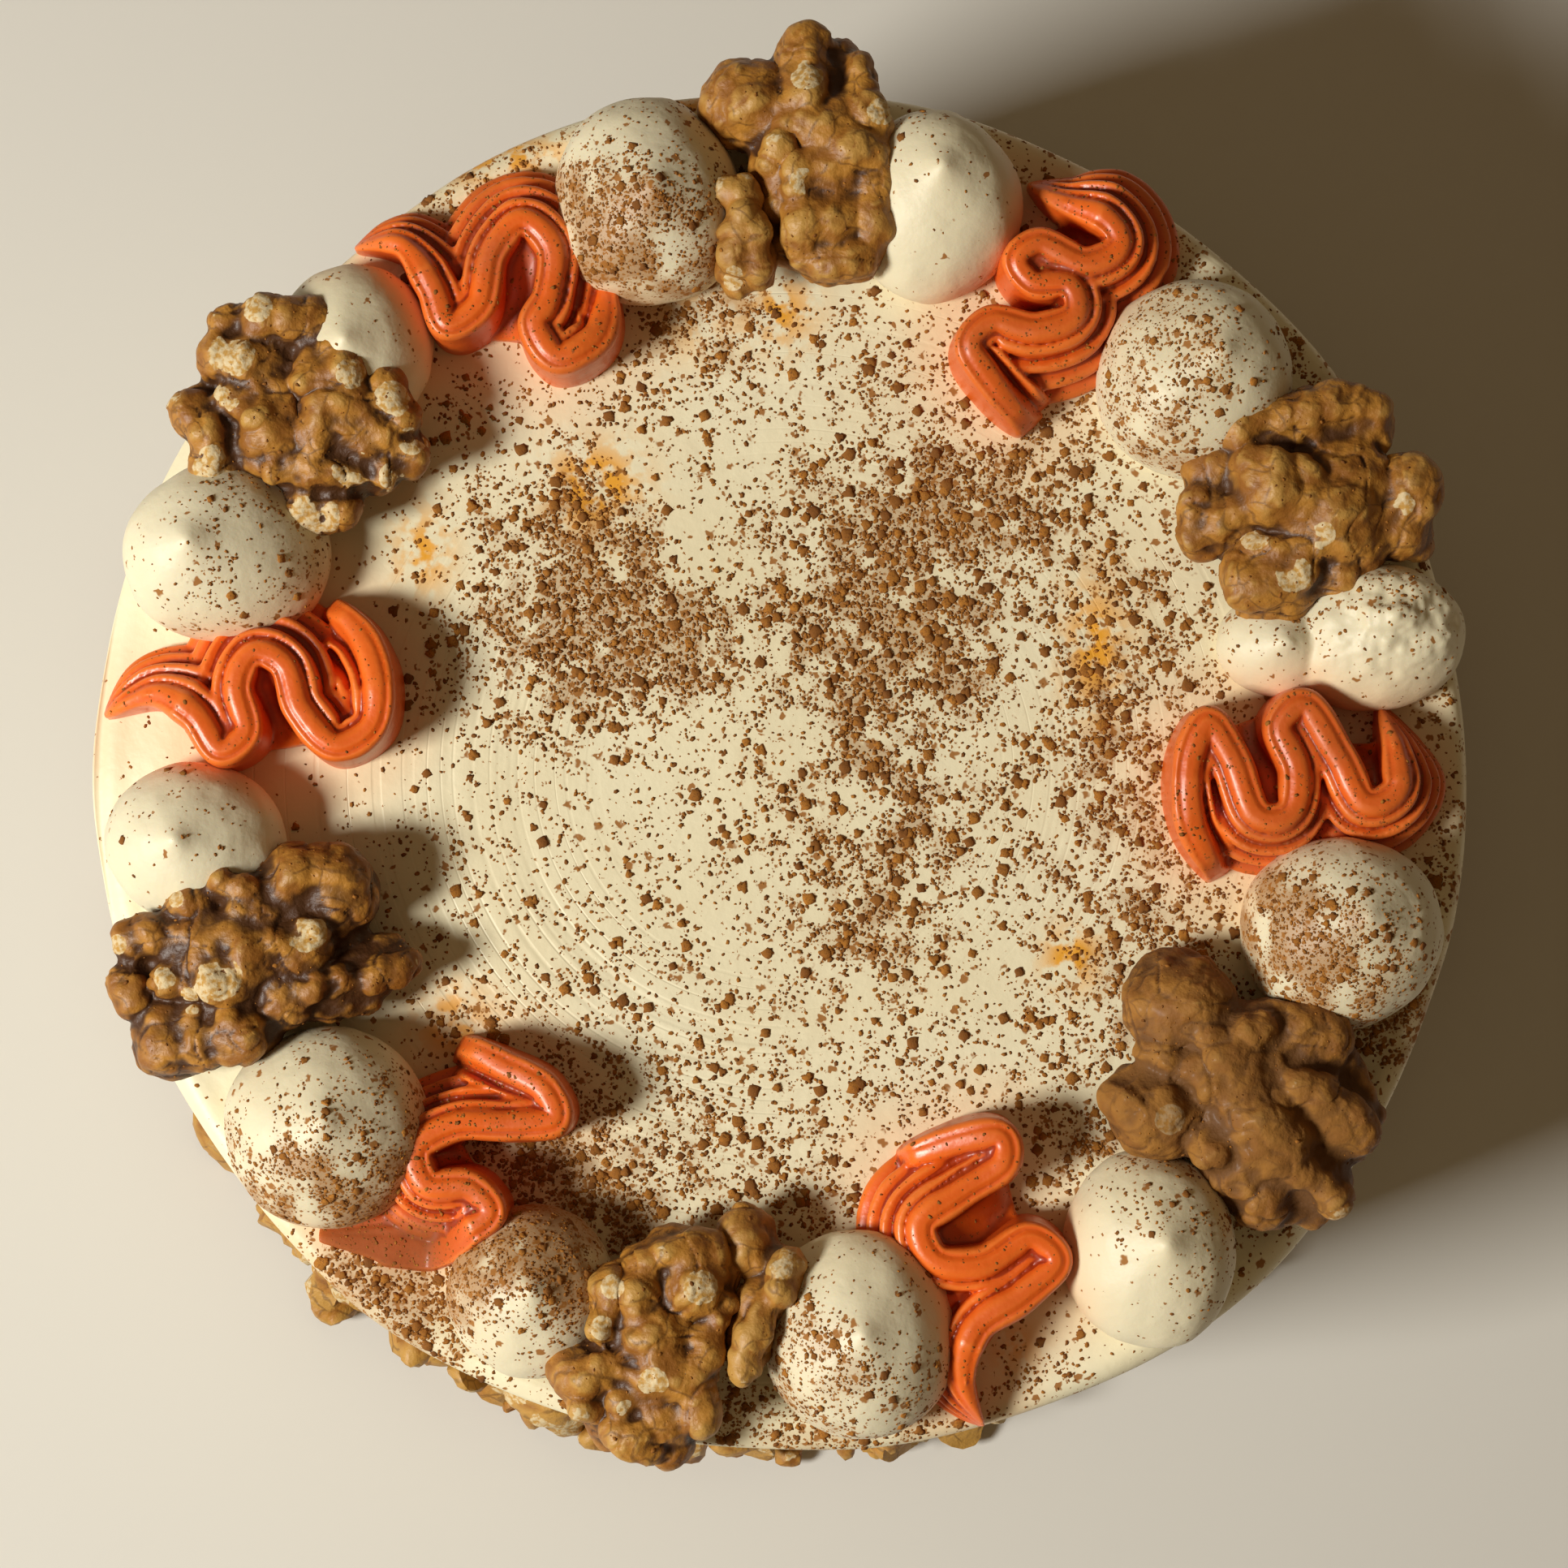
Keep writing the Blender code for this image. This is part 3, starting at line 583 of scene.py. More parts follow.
@dataclass(frozen=True)
class RuffleFinish(Finish):
    """Glossy coloured icing with painted shade deepening its creases and a painted highlight paling its
    rails, flecked with cinnamon.
    """

    rail_highlight: Colour = (0.90, 0.205, 0.028)
    body: Colour = (0.76, 0.112, 0.007)
    crease_shade: Colour = (0.27, 0.012, 0.001)
    dusted: Colour = (0.260, 0.064, 0.006)

    def mix(self, effects: Effects) -> bpy.types.Material:
        """Builds the material."""
        material, nodes, shader = self.begin()
        crest = nodes.painted("crest")
        # Painted shade: the colour darkens in the creases, where crest is low.
        colour = nodes.mix(nodes.between(crest, 0.22, 0.46), self.crease_shade, self.body)
        # Painted highlight: the colour pales on the rails, where crest is high.
        colour = nodes.mix(nodes.between(crest, 0.50, 0.85), colour, self.rail_highlight)
        patch = nodes.group(effects.mottle, Fineness=160.0, Contrast=1.2)
        colour = nodes.mix(nodes.math("MULTIPLY", patch, 0.3), colour, self.body)
        dust = nodes.painted("dust")
        sparse = nodes.math("MULTIPLY", dust, 0.5)
        specks = nodes.group(effects.speckle, Density=sparse, Fineness=2200.0)
        colour = nodes.mix(nodes.math("MULTIPLY", dust, 0.85, clamp=True), colour, self.dusted)
        colour = nodes.mix(nodes.math("MULTIPLY", specks, 0.7), colour, self.dusted)
        nodes.feed(shader.inputs["Base Color"], colour)
        self.roughen(nodes, shader, nodes.math("MAXIMUM", specks, dust), 0.45)
        self.emboss(nodes, shader, nodes.noise(1.0 / (1.1 * MM)), 0.16 * MM)
        self.glow(shader, 0.08, (1.6 * MM, 0.5 * MM, 0.2 * MM))
        return material


@dataclass(frozen=True)
class NutFinish(Finish):
    """Walnut kernel: oily brown skin with dark veins, painted shade in its valleys and a painted tan
    highlight on its ridges, worn through to pale flesh on its high spots.
    """

    skin: Colour = (0.270, 0.098, 0.010)
    gold: Colour = (0.46, 0.205, 0.028)
    shade_and_vein: Colour = (0.058, 0.018, 0.003)
    tan: Colour = (0.49, 0.265, 0.055)
    cinnamon: Colour = (0.215, 0.086, 0.010)
    flesh: Colour = (0.66, 0.53, 0.31)

    def mix(self, effects: Effects) -> bpy.types.Material:
        """Builds the material."""
        material, nodes, shader = self.begin()
        crest = nodes.painted("crest")
        patch = nodes.group(effects.mottle, Fineness=330.0, Contrast=4.2)
        colour = nodes.mix(patch, self.skin, self.gold)
        # Painted highlight: the high ridges, where crest is high, turn tan.
        colour = nodes.mix(nodes.between(crest, 0.60, 0.92), colour, self.tan)
        # Painted shade: the valleys and low parts, where crest is low, turn dark; the same dark colour also
        # draws the veins.
        colour = nodes.mix(nodes.between(crest, 0.50, 0.12), colour, self.shade_and_vein)
        veins = nodes.add("ShaderNodeTexVoronoi", feature="DISTANCE_TO_EDGE")
        pushed = (2.6 * MM, 2.6 * MM, 2.6 * MM)
        nodes.feed(veins.inputs["Vector"], nodes.wander(1.0 / (3.2 * MM), 1.0, pushed))
        veins.inputs["Scale"].default_value = 1.0 / (4.2 * MM)
        vein = nodes.between(veins.outputs["Distance"], 0.060, 0.010)
        vein = nodes.math("MULTIPLY", vein, nodes.between(patch, 0.15, 0.75))
        colour = nodes.mix(nodes.math("MULTIPLY", vein, 0.50), colour, self.shade_and_vein)
        grain = nodes.noise(1.0 / (0.7 * MM), 3.0)
        worn = nodes.math("ADD", nodes.painted("scraped"), nodes.math("MULTIPLY", grain, 0.5))
        scraped = nodes.between(worn, 0.74, 0.86)
        flesh = nodes.mix(nodes.between(grain, 0.36, 0.60), self.tan, self.flesh)
        colour = nodes.mix(scraped, colour, flesh)
        dust = nodes.painted("dust")
        colour = nodes.mix(nodes.math("MULTIPLY", dust, 0.85, clamp=True), colour, self.cinnamon)
        nodes.feed(shader.inputs["Base Color"], colour)
        self.roughen(nodes, shader, nodes.math("MAXIMUM", scraped, dust), 0.45)
        self.emboss(nodes, shader, grain, 0.22 * MM)
        return material


@dataclass(frozen=True)
class CinnamonFinish(Finish):
    """Ground cinnamon, each grain of its own brown."""

    deep: Colour = (0.175, 0.058, 0.004)
    bright: Colour = (0.39, 0.150, 0.013)

    def mix(self, effects: Effects) -> bpy.types.Material:
        """Builds the material."""
        material, nodes, shader = self.begin()
        colour = nodes.mix(nodes.painted("tint"), self.deep, self.bright)
        grain = nodes.noise(1.0 / (0.22 * MM), 1.0)
        colour = nodes.mix(nodes.between(grain, 0.50, 0.72), colour, CINNAMON_DARK)
        nodes.feed(shader.inputs["Base Color"], colour)
        self.emboss(nodes, shader, grain, 0.12 * MM)
        return material


@dataclass(frozen=True)
class Patch:
    """A round or oval patch on the cake's top, in mm, with its strength in the middle."""

    x: float
    y: float
    reach: float
    strength: float
    tall: float = 1.0

    def at(self, x: np.ndarray, y: np.ndarray) -> np.ndarray:
        """The patch's strength at places in mm."""
        far = ((x - self.x) / self.reach) ** 2 + ((y - self.y) / (self.reach * self.tall)) ** 2
        return self.strength * np.exp(-far)


class TopMap:
    """Where the cake's top is dusted, stained and tinted."""

    DUST = (
        Patch(-25.0, 19.0, 10.0, 1.5), Patch(12.0, 22.0, 12.0, 1.3), Patch(-9.0, 17.0, 8.0, 0.8, 0.7),
        Patch(-33.0, 31.0, 9.0, 0.35), Patch(24.0, 33.0, 12.0, 0.35), Patch(10.5, -2.0, 11.0, 0.55, 1.3),
        Patch(10.5, -20.0, 9.0, 0.35), Patch(42.0, 4.0, 9.0, 0.45, 2.4), Patch(46.0, -30.0, 9.0, 0.6, 1.5),
        Patch(38.0, -44.0, 8.0, 0.4), Patch(-8.6, 54.8, 7.0, 0.55), Patch(-20.0, -53.5, 9.0, 0.95, 0.6),
        Patch(-30.0, -48.0, 7.0, 0.6), Patch(-47.0, -63.0, 9.0, 1.6), Patch(-2.0, -50.0, 14.0, 0.25),
        Patch(63.0, 40.0, 18.0, 0.35), Patch(77.0, -25.0, 10.0, 0.5, 2.0), Patch(0.0, -80.0, 16.0, 0.6, 0.4),
        Patch(-40.0, 74.0, 12.0, 0.3), Patch(20.0, 48.0, 12.0, 0.15), Patch(-24.0, -40.0, 14.0, 0.18),
    )
    STAINS = (
        Patch(-23.6, 35.0, 5.5, 1.0, 0.9), Patch(-44.6, 27.0, 3.5, 0.7, 1.5),
        Patch(-51.6, 9.0, 3.0, 0.6, 1.8), Patch(38.4, 15.0, 4.0, 0.75, 2.2), Patch(35.4, -23.2, 3.4, 0.9),
        Patch(-40.6, -31.2, 4.0, 0.9), Patch(-0.6, 56.8, 4.5, 0.7), Patch(28.4, -70.7, 3.0, 0.5),
        Patch(-36.0, 76.0, 8.0, 1.0, 0.35), Patch(-12.6, 83.0, 3.0, 0.9), Patch(-12.0, 56.0, 5.0, 0.4),
    )
    EVERYWHERE = 0.02
    RIGHT_SIDE = 0.13
    STAIN_STRENGTH = 1.5

    def dust(self, points: np.ndarray) -> np.ndarray:
        """How thickly the cinnamon lies at places in metres."""
        x, y = points[:, 0] / MM, points[:, 1] / MM
        total = sum(patch.at(x, y) for patch in self.DUST)
        total = total + self.RIGHT_SIDE * ease(x, -62.0, -30.0) + self.EVERYWHERE
        total = total * (1.0 + 0.5 * soft_noise(points[:, :2], 7.0 * MM, 3))
        return np.clip(total * (1.0 + 0.8 * soft_noise(points[:, :2], 2.2 * MM, 5)), 0.0, 1.0)

    def stain(self, points: np.ndarray) -> np.ndarray:
        """How strongly the yellow stain shows at places in metres."""
        x, y = points[:, 0] / MM, points[:, 1] / MM
        return self.STAIN_STRENGTH * sum(patch.at(x, y) for patch in self.STAINS)


class IcedDrum:
    """The iced cake itself: a wavering wall, a rim that isn't quite crisp and a spatula-turned top."""

    ROUNDING = 2.0 * MM
    FOOT_ROUNDING = 1.5 * MM
    STEPS = 360
    STRAIGHT_BELOW = 34.0 * MM
    WAVER = ((2, 0.55 * MM, 0.9), (3, 0.5 * MM, 2.4), (5, 0.35 * MM, 4.0), (9, 0.2 * MM, 1.0))
    DENT = 0.35
    STREAK = 0.22
    STREAK_RADIUS = 40.0
    FILM = ((24.0 * MM, 0.22, 4), (8.0 * MM, 0.05, 6))
    GROOVES = (33.0, 36.2, 39.0, 41.3, 44.6, 47.5)
    GROOVE_DEPTH = 0.13
    GROOVE_WIDTH = 0.55
    LIP_INSET = 2.6 * MM
    LIP_WIDTH = 1.1 * MM
    LIP_RADIUS = 12.0
    SAG = 1.5
    PAINTED_BOUNCE_STRENGTH = 0.30

    def __init__(self, top: TopMap, routes: Sequence[np.ndarray]) -> None:
        """Takes the top's map and the ruffles' routes, near which orange bounce light is painted on it."""
        self.top = top
        self.routes = routes

    def profile(self) -> List[Point]:
        """The turned outline from the middle of the top to the middle of the underside."""
        edge = CAKE_RADIUS - self.ROUNDING
        points = [(0.0, CAKE_HEIGHT)]
        points += [(radius, CAKE_HEIGHT) for radius in np.arange(1.0 * MM, edge, 0.8 * MM)]
        for turn in np.linspace(0.0, math.pi / 2, 8):
            high = CAKE_HEIGHT - self.ROUNDING * (1.0 - math.cos(turn))
            points.append((edge + self.ROUNDING * math.sin(turn), high))
        points += [(CAKE_RADIUS, z) for z in np.arange(CAKE_HEIGHT - 3.4 * MM, 3.0 * MM, -1.5 * MM)]
        for turn in np.linspace(0.0, math.pi / 2, 4):
            foot = self.FOOT_ROUNDING
            points.append((CAKE_RADIUS - foot + foot * math.cos(turn), foot - foot * math.sin(turn)))
        points.append((0.0, 0.0))
        return [(float(radius), float(height)) for radius, height in points]

    def shape(self, skin: Skin) -> None:
        """Moves the turned points as a hand with a spatula would."""
        x, y, z = skin.points.T
        angle, radius = np.arctan2(y, x), np.hypot(x, y)
        share = np.clip((z - self.STRAIGHT_BELOW) / (CAKE_HEIGHT - self.STRAIGHT_BELOW), 0.0, 1.0)
        waver = sum(size * np.cos(waves * angle + phase) for waves, size, phase in self.WAVER)
        grown = 1.0 + share * waver * (radius / CAKE_RADIUS) ** 4 / CAKE_RADIUS
        wall = ease(radius, CAKE_RADIUS - 0.6 * MM, CAKE_RADIUS) * ease(z, 1.0 * MM, 4.0 * MM)
        around = np.column_stack([np.cos(angle), np.sin(angle)])
        streaks = np.column_stack([around * self.STREAK_RADIUS * MM, z * 5.0])
        dents = soft_noise(skin.points, 16.0 * MM, 1) * self.DENT
        dents += soft_noise(streaks, 9.0 * MM, 2) * self.STREAK
        grown += wall * dents * MM / CAKE_RADIUS
        flat = ease(z, CAKE_HEIGHT - self.ROUNDING, CAKE_HEIGHT - 0.2 * MM)
        film = layered(skin.points[:, :2], self.FILM)
        ring = np.zeros(len(x))
        for i, groove in enumerate(self.GROOVES):
            arc = np.clip(np.cos(angle * (1 + i % 2) + 1.3 * i + 2.2), 0.0, 1.0)
            ring -= arc * np.exp(-(((radius / MM - groove) / self.GROOVE_WIDTH) ** 2))
        lip = np.exp(-(((radius - CAKE_RADIUS + self.LIP_INSET) / self.LIP_WIDTH) ** 2))
        lip *= 0.25 + 0.35 * soft_noise(around * self.LIP_RADIUS * MM, 4.0 * MM, 8)
        slope = ease(radius, 74.0 * MM, CAKE_RADIUS) * np.clip(-np.cos(angle + 0.1), 0.0, 1.0) ** 6
        high = flat * (film + self.GROOVE_DEPTH * ring + lip - self.SAG * slope) * MM
        skin.write(np.column_stack([x * grown, y * grown, z + high]))

    def paint(self, skin: Skin) -> None:
        """Paints dust, stain, painted orange bounce light near the ruffles and smudges on the icing."""
        points = skin.points
        angle = np.arctan2(points[:, 1], points[:, 0])
        top = ease(points[:, 2], CAKE_HEIGHT - 6.0 * MM, CAKE_HEIGHT - 1.5 * MM)
        side = 1.0 - top
        fallen = 0.10 + 0.10 * soft_noise(points, 12.0 * MM, 9)
        skin.paint("dust", top * self.top.dust(points) + side * np.clip(fallen, 0.0, 1.0) * 0.6)
        skin.paint("stain", top * self.top.stain(points))
        nearest = clearance(points, self.routes, 3)
        # Painted bounce light: orange near the ruffles' lines.
        skin.paint("painted_bounce", top * self.PAINTED_BOUNCE_STRENGTH * ease(nearest, 11.0 * MM, 4.0 * MM))
        rub = ease(soft_noise(points, 14.0 * MM, 11), 0.25, 0.7)
        rub *= np.clip(-np.cos(angle - 0.5), 0.0, 1.0)
        skin.paint("smudge", side * rub * 0.5 * ease(points[:, 2], 20.0 * MM, 60.0 * MM))
        worked = ease(soft_noise(points[:, :2], 26.0 * MM, 12), -0.2, 0.4)
        worked *= 0.35 + 0.35 * (points[:, 0] < 0.0)
        far = np.hypot(points[:, 0], points[:, 1])
        skin.paint("turned", top * worked * ease(far, 18.0 * MM, 34.0 * MM))

    def build(self, material: bpy.types.Material) -> bpy.types.Object:
        """Makes the drum."""
        drum = Bench.turn("icing", self.profile(), self.STEPS)
        skin = Skin(drum)
        self.shape(skin)
        self.paint(skin)
        drum.data.materials.append(material)
        Bench.smooth(drum)
        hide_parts("iced_cake")
        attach(drum, BODY)
        return drum


class Dusting(Enum):
    """How thickly a topping is dusted."""

    BARE = 0.04
    LIGHT = 0.18
    MIDDLE = 0.45
    THICK = 0.85
    BURIED = 1.60


@dataclass(frozen=True)
class Dollop:
    """One piped bulb: centre, half widths and lean in mm, its dusting and where the dust came from."""

    x: float
    y: float
    half_x: float
    half_y: float
    lean_x: float
    lean_y: float
    dusting: Dusting
    dust_from: float = 90.0


class DollopRing:
    """The piped cream bulbs round the top edge."""

    RISE = 7.0 * MM
    GAP = 0.35 * MM
    WAIST = 0.45
    STRETCH = 0.86
    TIP = 1.15
    SHOULDER = 0.5
    SWIRL = 0.10
    SUNK = 0.25 * MM
    RINGS = 44
    STEPS = 80
    LUMPS = ((0.8, 0.045, 0), (0.26, 0.016, 40))
    PATCHES = ((5.0 * MM, 0.9, 13), (2.4 * MM, 0.7, 14))
    TORN = 4
    TORN_VOXEL = 0.34 * MM
    RAGS = ((2.2 * MM, 0.55, 21), (1.0 * MM, 0.25, 22))
    PAINTED_BOUNCE_STRENGTH = 0.50
    TAIL = Dollop(61.8, 15.4, 7.8, 6.4, 0.0, 0.0, Dusting.LIGHT)
    BULBS = (
        Dollop(-17.1, 70.6, 11.8, 13.0, 0.8, -0.3, Dusting.THICK, 250.0),
        Dollop(18.9, 69.6, 10.8, 11.3, 0.3, 3.6, Dusting.BARE),
        Dollop(50.6, 48.1, 12.0, 12.2, 2.6, 2.4, Dusting.MIDDLE, 200.0),
        Dollop(72.8, 15.8, 11.0, 8.8, 2.8, 2.6, Dusting.LIGHT),
        Dollop(68.6, -20.7, 12.3, 11.5, 2.2, 1.8, Dusting.THICK, 200.0),
        Dollop(44.8, -59.5, 10.6, 11.8, 1.6, 1.0, Dusting.LIGHT, 45.0),
        Dollop(9.4, -69.7, 11.8, 12.6, 0.2, 0.6, Dusting.MIDDLE, 240.0),
        Dollop(-31.1, -64.7, 10.2, 10.6, 0.6, 1.0, Dusting.BURIED, 90.0),
        Dollop(-56.2, -44.7, 12.6, 12.5, 1.0, 1.4, Dusting.THICK, 290.0),
        Dollop(-72.6, -9.4, 11.0, 10.2, -1.2, 0.2, Dusting.BARE),
        Dollop(-68.6, 26.6, 12.3, 11.1, -3.6, 0.4, Dusting.LIGHT, 0.0),
        Dollop(-53.4, 52.3, 9.8, 10.6, -0.2, -0.5, Dusting.BARE),
    )

    def profile(self) -> List[Point]:
        """The outline of a bulb one unit wide, from its tip to the middle of its foot."""
        low = -math.asin(self.WAIST)
        points: List[Point] = []
        for angle in np.linspace(math.pi / 2, low, self.RINGS):
            points.append((math.cos(angle), (self.WAIST + math.sin(angle)) * self.STRETCH))
        points[0] = (0.0, points[0][1])
        points.append((0.0, points[-1][1]))
        return points

    def shape(self, bulb: bpy.types.Object, spec: Dollop, seed: int) -> None:
        """Widens, leans and roughens a bulb, and draws out its tip."""
        skin = Skin(bulb)
        x, y, z = skin.points.T
        x0, y0 = drawn_in(spec.x, spec.y, self.RISE)
        half = (spec.half_x + spec.half_y) / 2.0
        radius = np.hypot(x, y)
        lump = layered(skin.points, self.LUMPS, 1.0, seed)
        high = np.clip(z / 1.25, 0.0, 1.2) ** 2
        peak = self.TIP * np.exp(-((radius / 0.17) ** 1.6)) + self.SHOULDER * np.exp(-((radius / 0.4) ** 2))
        twist = np.arctan2(y, x) + 2.2 * radius
        swirl = self.SWIRL * np.sin(twist + seed) * np.exp(-((radius / 0.35) ** 2)) * (radius > 0.02)
        bent = soft_noise(np.column_stack([z * 3, z * 0 + seed]), 0.5, seed) * 0.35
        px = x0 + (x * spec.half_x * lump + (spec.lean_x + bent * (z > 1.1)) * high) * MM
        py = y0 + (y * spec.half_y * lump + spec.lean_y * high) * MM
        tall = np.clip(z, 0.0, 9.0) * half * (0.5 + 0.5 * lump) + (peak + swirl) * (z > 0.3)
        skin.write(np.column_stack([px, py, CAKE_HEIGHT - self.SUNK + tall * MM]))

    def tear(self, bulb: bpy.types.Object) -> None:
        """Joins the low tail of the bulb that was dragged aside, and leaves its top ragged."""
        tail = Bench.turn("tail", self.profile(), self.STEPS)
        self.shape(tail, self.TAIL, 77)
        Bench.join([bulb, tail], bulb.name)
        Bench.finish(bulb, "REMESH", mode="VOXEL", voxel_size=self.TORN_VOXEL)
        Bench.finish(bulb, "SMOOTH", iterations=7)
        skin = Skin(bulb)
        high = ease(skin.points[:, 2], CAKE_HEIGHT + 8.0 * MM, CAKE_HEIGHT + 12.0 * MM)
        rags = layered(skin.points, self.RAGS)
        skin.write(skin.points + skin.normals() * (high * rags * MM)[:, None])

    @classmethod
    def dust(cls, spec: Dollop, points: np.ndarray, normals: np.ndarray) -> np.ndarray:
        """How thickly the dust lies, thicker on the side that it came from.

        Args:
            spec: Which bulb.
            points: Places on it, in metres.
            normals: The outward direction at each place.

        Returns:
            A value from 0 to 1 for each place.
        """
        way = math.radians(spec.dust_from)
        side = normals[:, 0] * math.cos(way) + normals[:, 1] * math.sin(way)
        level = spec.dusting.value * np.clip(0.55 + 0.85 * side, 0.10, 1.3)
        level = level * ease(normals[:, 2], -0.2, 0.4)
        return np.clip(level * layered(points, cls.PATCHES, 1.0), 0.0, 1.0)

    def paint(self, bulb: bpy.types.Object, spec: Dollop, routes: Sequence[np.ndarray]) -> None:
        """Paints the dust and painted orange bounce light from nearby ruffles on the low parts."""
        skin = Skin(bulb)
        points = skin.points
        skin.paint("dust", self.dust(spec, points, skin.normals()) + 0.02)
        # Painted bounce light: orange on the low parts near the ruffles.
        nearest = clearance(points, routes, 4)
        low = ease(points[:, 2], CAKE_HEIGHT + 13.0 * MM, CAKE_HEIGHT + 3.0 * MM)
        skin.paint("painted_bounce", self.PAINTED_BOUNCE_STRENGTH * low * ease(nearest, 10.0 * MM, 4.0 * MM))

    def build(self, material: bpy.types.Material, routes: Sequence[np.ndarray]) -> List[bpy.types.Object]:
        """Makes every bulb."""
        bulbs = []
        for number, spec in enumerate(self.BULBS, 1):
            bulb = Bench.turn(f"cream_dollop_{number:02d}", self.profile(), self.STEPS)
            self.shape(bulb, spec, number)
            if number == self.TORN:
                self.tear(bulb)
            self.paint(bulb, spec, routes)
            bulb.data.materials.append(material)
            Bench.smooth(bulb)
            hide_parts(f"dollop_{number:02d}")
            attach(bulb, BODY)
            bulbs.append(bulb)
        return bulbs


class Start(Enum):
    """How a ruffle begins."""

    DRAWN_OUT = "a thin drawn tip"
    SMEARED = "a flat smear"


@dataclass(frozen=True)
class Ruffle:
    """One piped ruffle: its start, dust, ribbed reach and middle line from the start, in mm."""

    start: Start
    dusting: Dusting
    reach: float
    line: Tuple[Point, ...]


class RuffleRing:
    """The coloured ruffles, piped to and fro with a ribbed nozzle: smooth right flank, ribbed left flank."""

    HALF = 1.95 * MM
    HEIGHT = 10.5 * MM
    LIP_GROOVE = 0.38 * MM
    SMOOTH_FOOT = 0.35 * MM
    RIBS = 4
    RIB_DEPTH = 2.0 * MM
    TIP_LENGTH = 10.0 * MM
    SMEAR_FROM = 13.0 * MM
    SMEAR_TO = 19.0 * MM
    SMEAR_POINT = 8.0 * MM
    END_LENGTH = 13.0 * MM
    FINGER_STEP = 7.5 * MM
    FINGER_ROUNDING = 2.4 * MM
    FINGER_GAP = 4.0 * MM
    STEP = 0.35 * MM
    SUNK = 0.3 * MM
    VOXEL = 0.27 * MM
    TIGHT = 90.0
    ROOM = 0.93
    FOLD_FROM = 0.86
    FOLD_FALL = 0.80
    FOLD_SIDES = 9
    FOLD_RISE = 8.0 * MM
    TREMBLE = ((2.4 * MM, 0.06, 31), (6.0 * MM, 0.22, 32))
    RUFFLES = (
        Ruffle(Start.DRAWN_OUT, Dusting.MIDDLE, 6.6, (
            (30.2, 72.8), (34.4, 70.3), (39.9, 68.0), (41.4, 64.8), (37.4, 63.0), (31.9, 65.3), (28.9, 63.0),
            (30.9, 60.0), (35.2, 59.6), (35.9, 56.3), (31.4, 54.6), (25.9, 55.6), (23.0, 52.3), (25.9, 47.3),
            (30.4, 42.0))),
        Ruffle(Start.DRAWN_OUT, Dusting.MIDDLE, 5.2, (
            (73.4, 8.0), (75.2, 2.3), (75.6, -2.7), (71.9, -4.2), (68.9, 1.3), (64.6, 7.6), (61.2, 4.8),
            (63.2, -0.7), (62.4, -5.7), (58.4, -5.7), (55.6, 1.3), (52.4, 5.5), (49.9, 0.3), (50.2, -7.2),
            (53.4, -13.7))),
        Ruffle(Start.DRAWN_OUT, Dusting.LIGHT, 6.2, (
            (24.6, -80.7), (22.2, -75.2), (23.9, -69.2), (29.6, -65.2), (33.7, -61.0), (30.2, -57.9),
            (24.6, -61.0), (18.9, -60.7), (17.2, -56.4), (21.9, -52.7), (27.0, -49.2), (26.6, -45.5),
            (20.9, -46.2), (13.9, -48.4))),
        Ruffle(Start.SMEARED, Dusting.THICK, 5.4, (
            (-56.8, -58.7), (-49.6, -57.7), (-41.1, -58.2), (-36.0, -55.2), (-38.6, -51.8), (-43.6, -51.4),
            (-44.8, -47.2), (-40.1, -44.5), (-33.6, -44.4), (-28.1, -43.7), (-29.4, -39.7), (-34.6, -36.7),
            (-40.0, -33.7))),
        Ruffle(Start.DRAWN_OUT, Dusting.LIGHT, 7.0, (
            (-83.8, 6.4), (-78.1, 8.8), (-73.1, 6.3), (-69.8, 1.8), (-66.3, 4.3), (-67.4, 9.8), (-65.6, 13.6),
            (-62.1, 12.3), (-60.1, 6.8), (-55.6, 2.3), (-50.8, 4.8), (-50.1, 10.8), (-52.1, 16.3),
            (-56.1, 20.3))),
        Ruffle(Start.DRAWN_OUT, Dusting.MIDDLE, 6.4, (
            (-53.4, 64.6), (-47.6, 64.8), (-44.1, 59.8), (-41.8, 54.8), (-37.6, 57.3), (-36.1, 63.8),
            (-32.6, 67.6), (-29.1, 64.3), (-29.4, 58.8), (-31.1, 54.8), (-28.1, 50.6), (-23.1, 53.3),
            (-22.1, 58.3), (-23.8, 61.3))),
    )

    def route(self, ruffle: Ruffle) -> Tuple[np.ndarray, np.ndarray]:
        """Draws the middle line as it is seen from above.

        Args:
            ruffle: Which ruffle.

        Returns:
            Evenly spaced places in metres, and how far along each one is.
        """
        knots = np.array(ruffle.line) * MM
        knots = np.concatenate([knots[:1], knots, knots[-1:]])
        curve = []
        share = np.linspace(0.0, 1.0, 24, endpoint=False)[:, None]
        for a, b, c, d in zip(knots, knots[1:], knots[2:], knots[3:]):
            cubic = (3 * b - a - 3 * c + d) * share**3
            curve.append(0.5 * (2 * b + (c - a) * share + (2 * a - 5 * b + 4 * c - d) * share**2 + cubic))
        path = np.concatenate(curve + [knots[-1:]])
        run = np.concatenate([[0.0], np.cumsum(np.linalg.norm(np.diff(path, axis=0), axis=1))])
        even = np.linspace(0.0, run[-1], max(8, round(run[-1] / self.STEP)))
        return np.column_stack([np.interp(even, run, path[:, i]) for i in range(2)]), even

    def bends(self, line: np.ndarray, run: np.ndarray) -> Tuple[np.ndarray, np.ndarray]:
        """Finds the direction to the left of a line and how tightly it bends, left bends above 0."""
        ahead = np.gradient(line, axis=0)
        ahead /= np.linalg.norm(ahead, axis=1)[:, None]
        bend = np.gradient(np.unwrap(np.arctan2(ahead[:, 1], ahead[:, 0])), run)
        return np.column_stack([-ahead[:, 1], ahead[:, 0]]), np.convolve(bend, np.ones(9) / 9, mode="same")

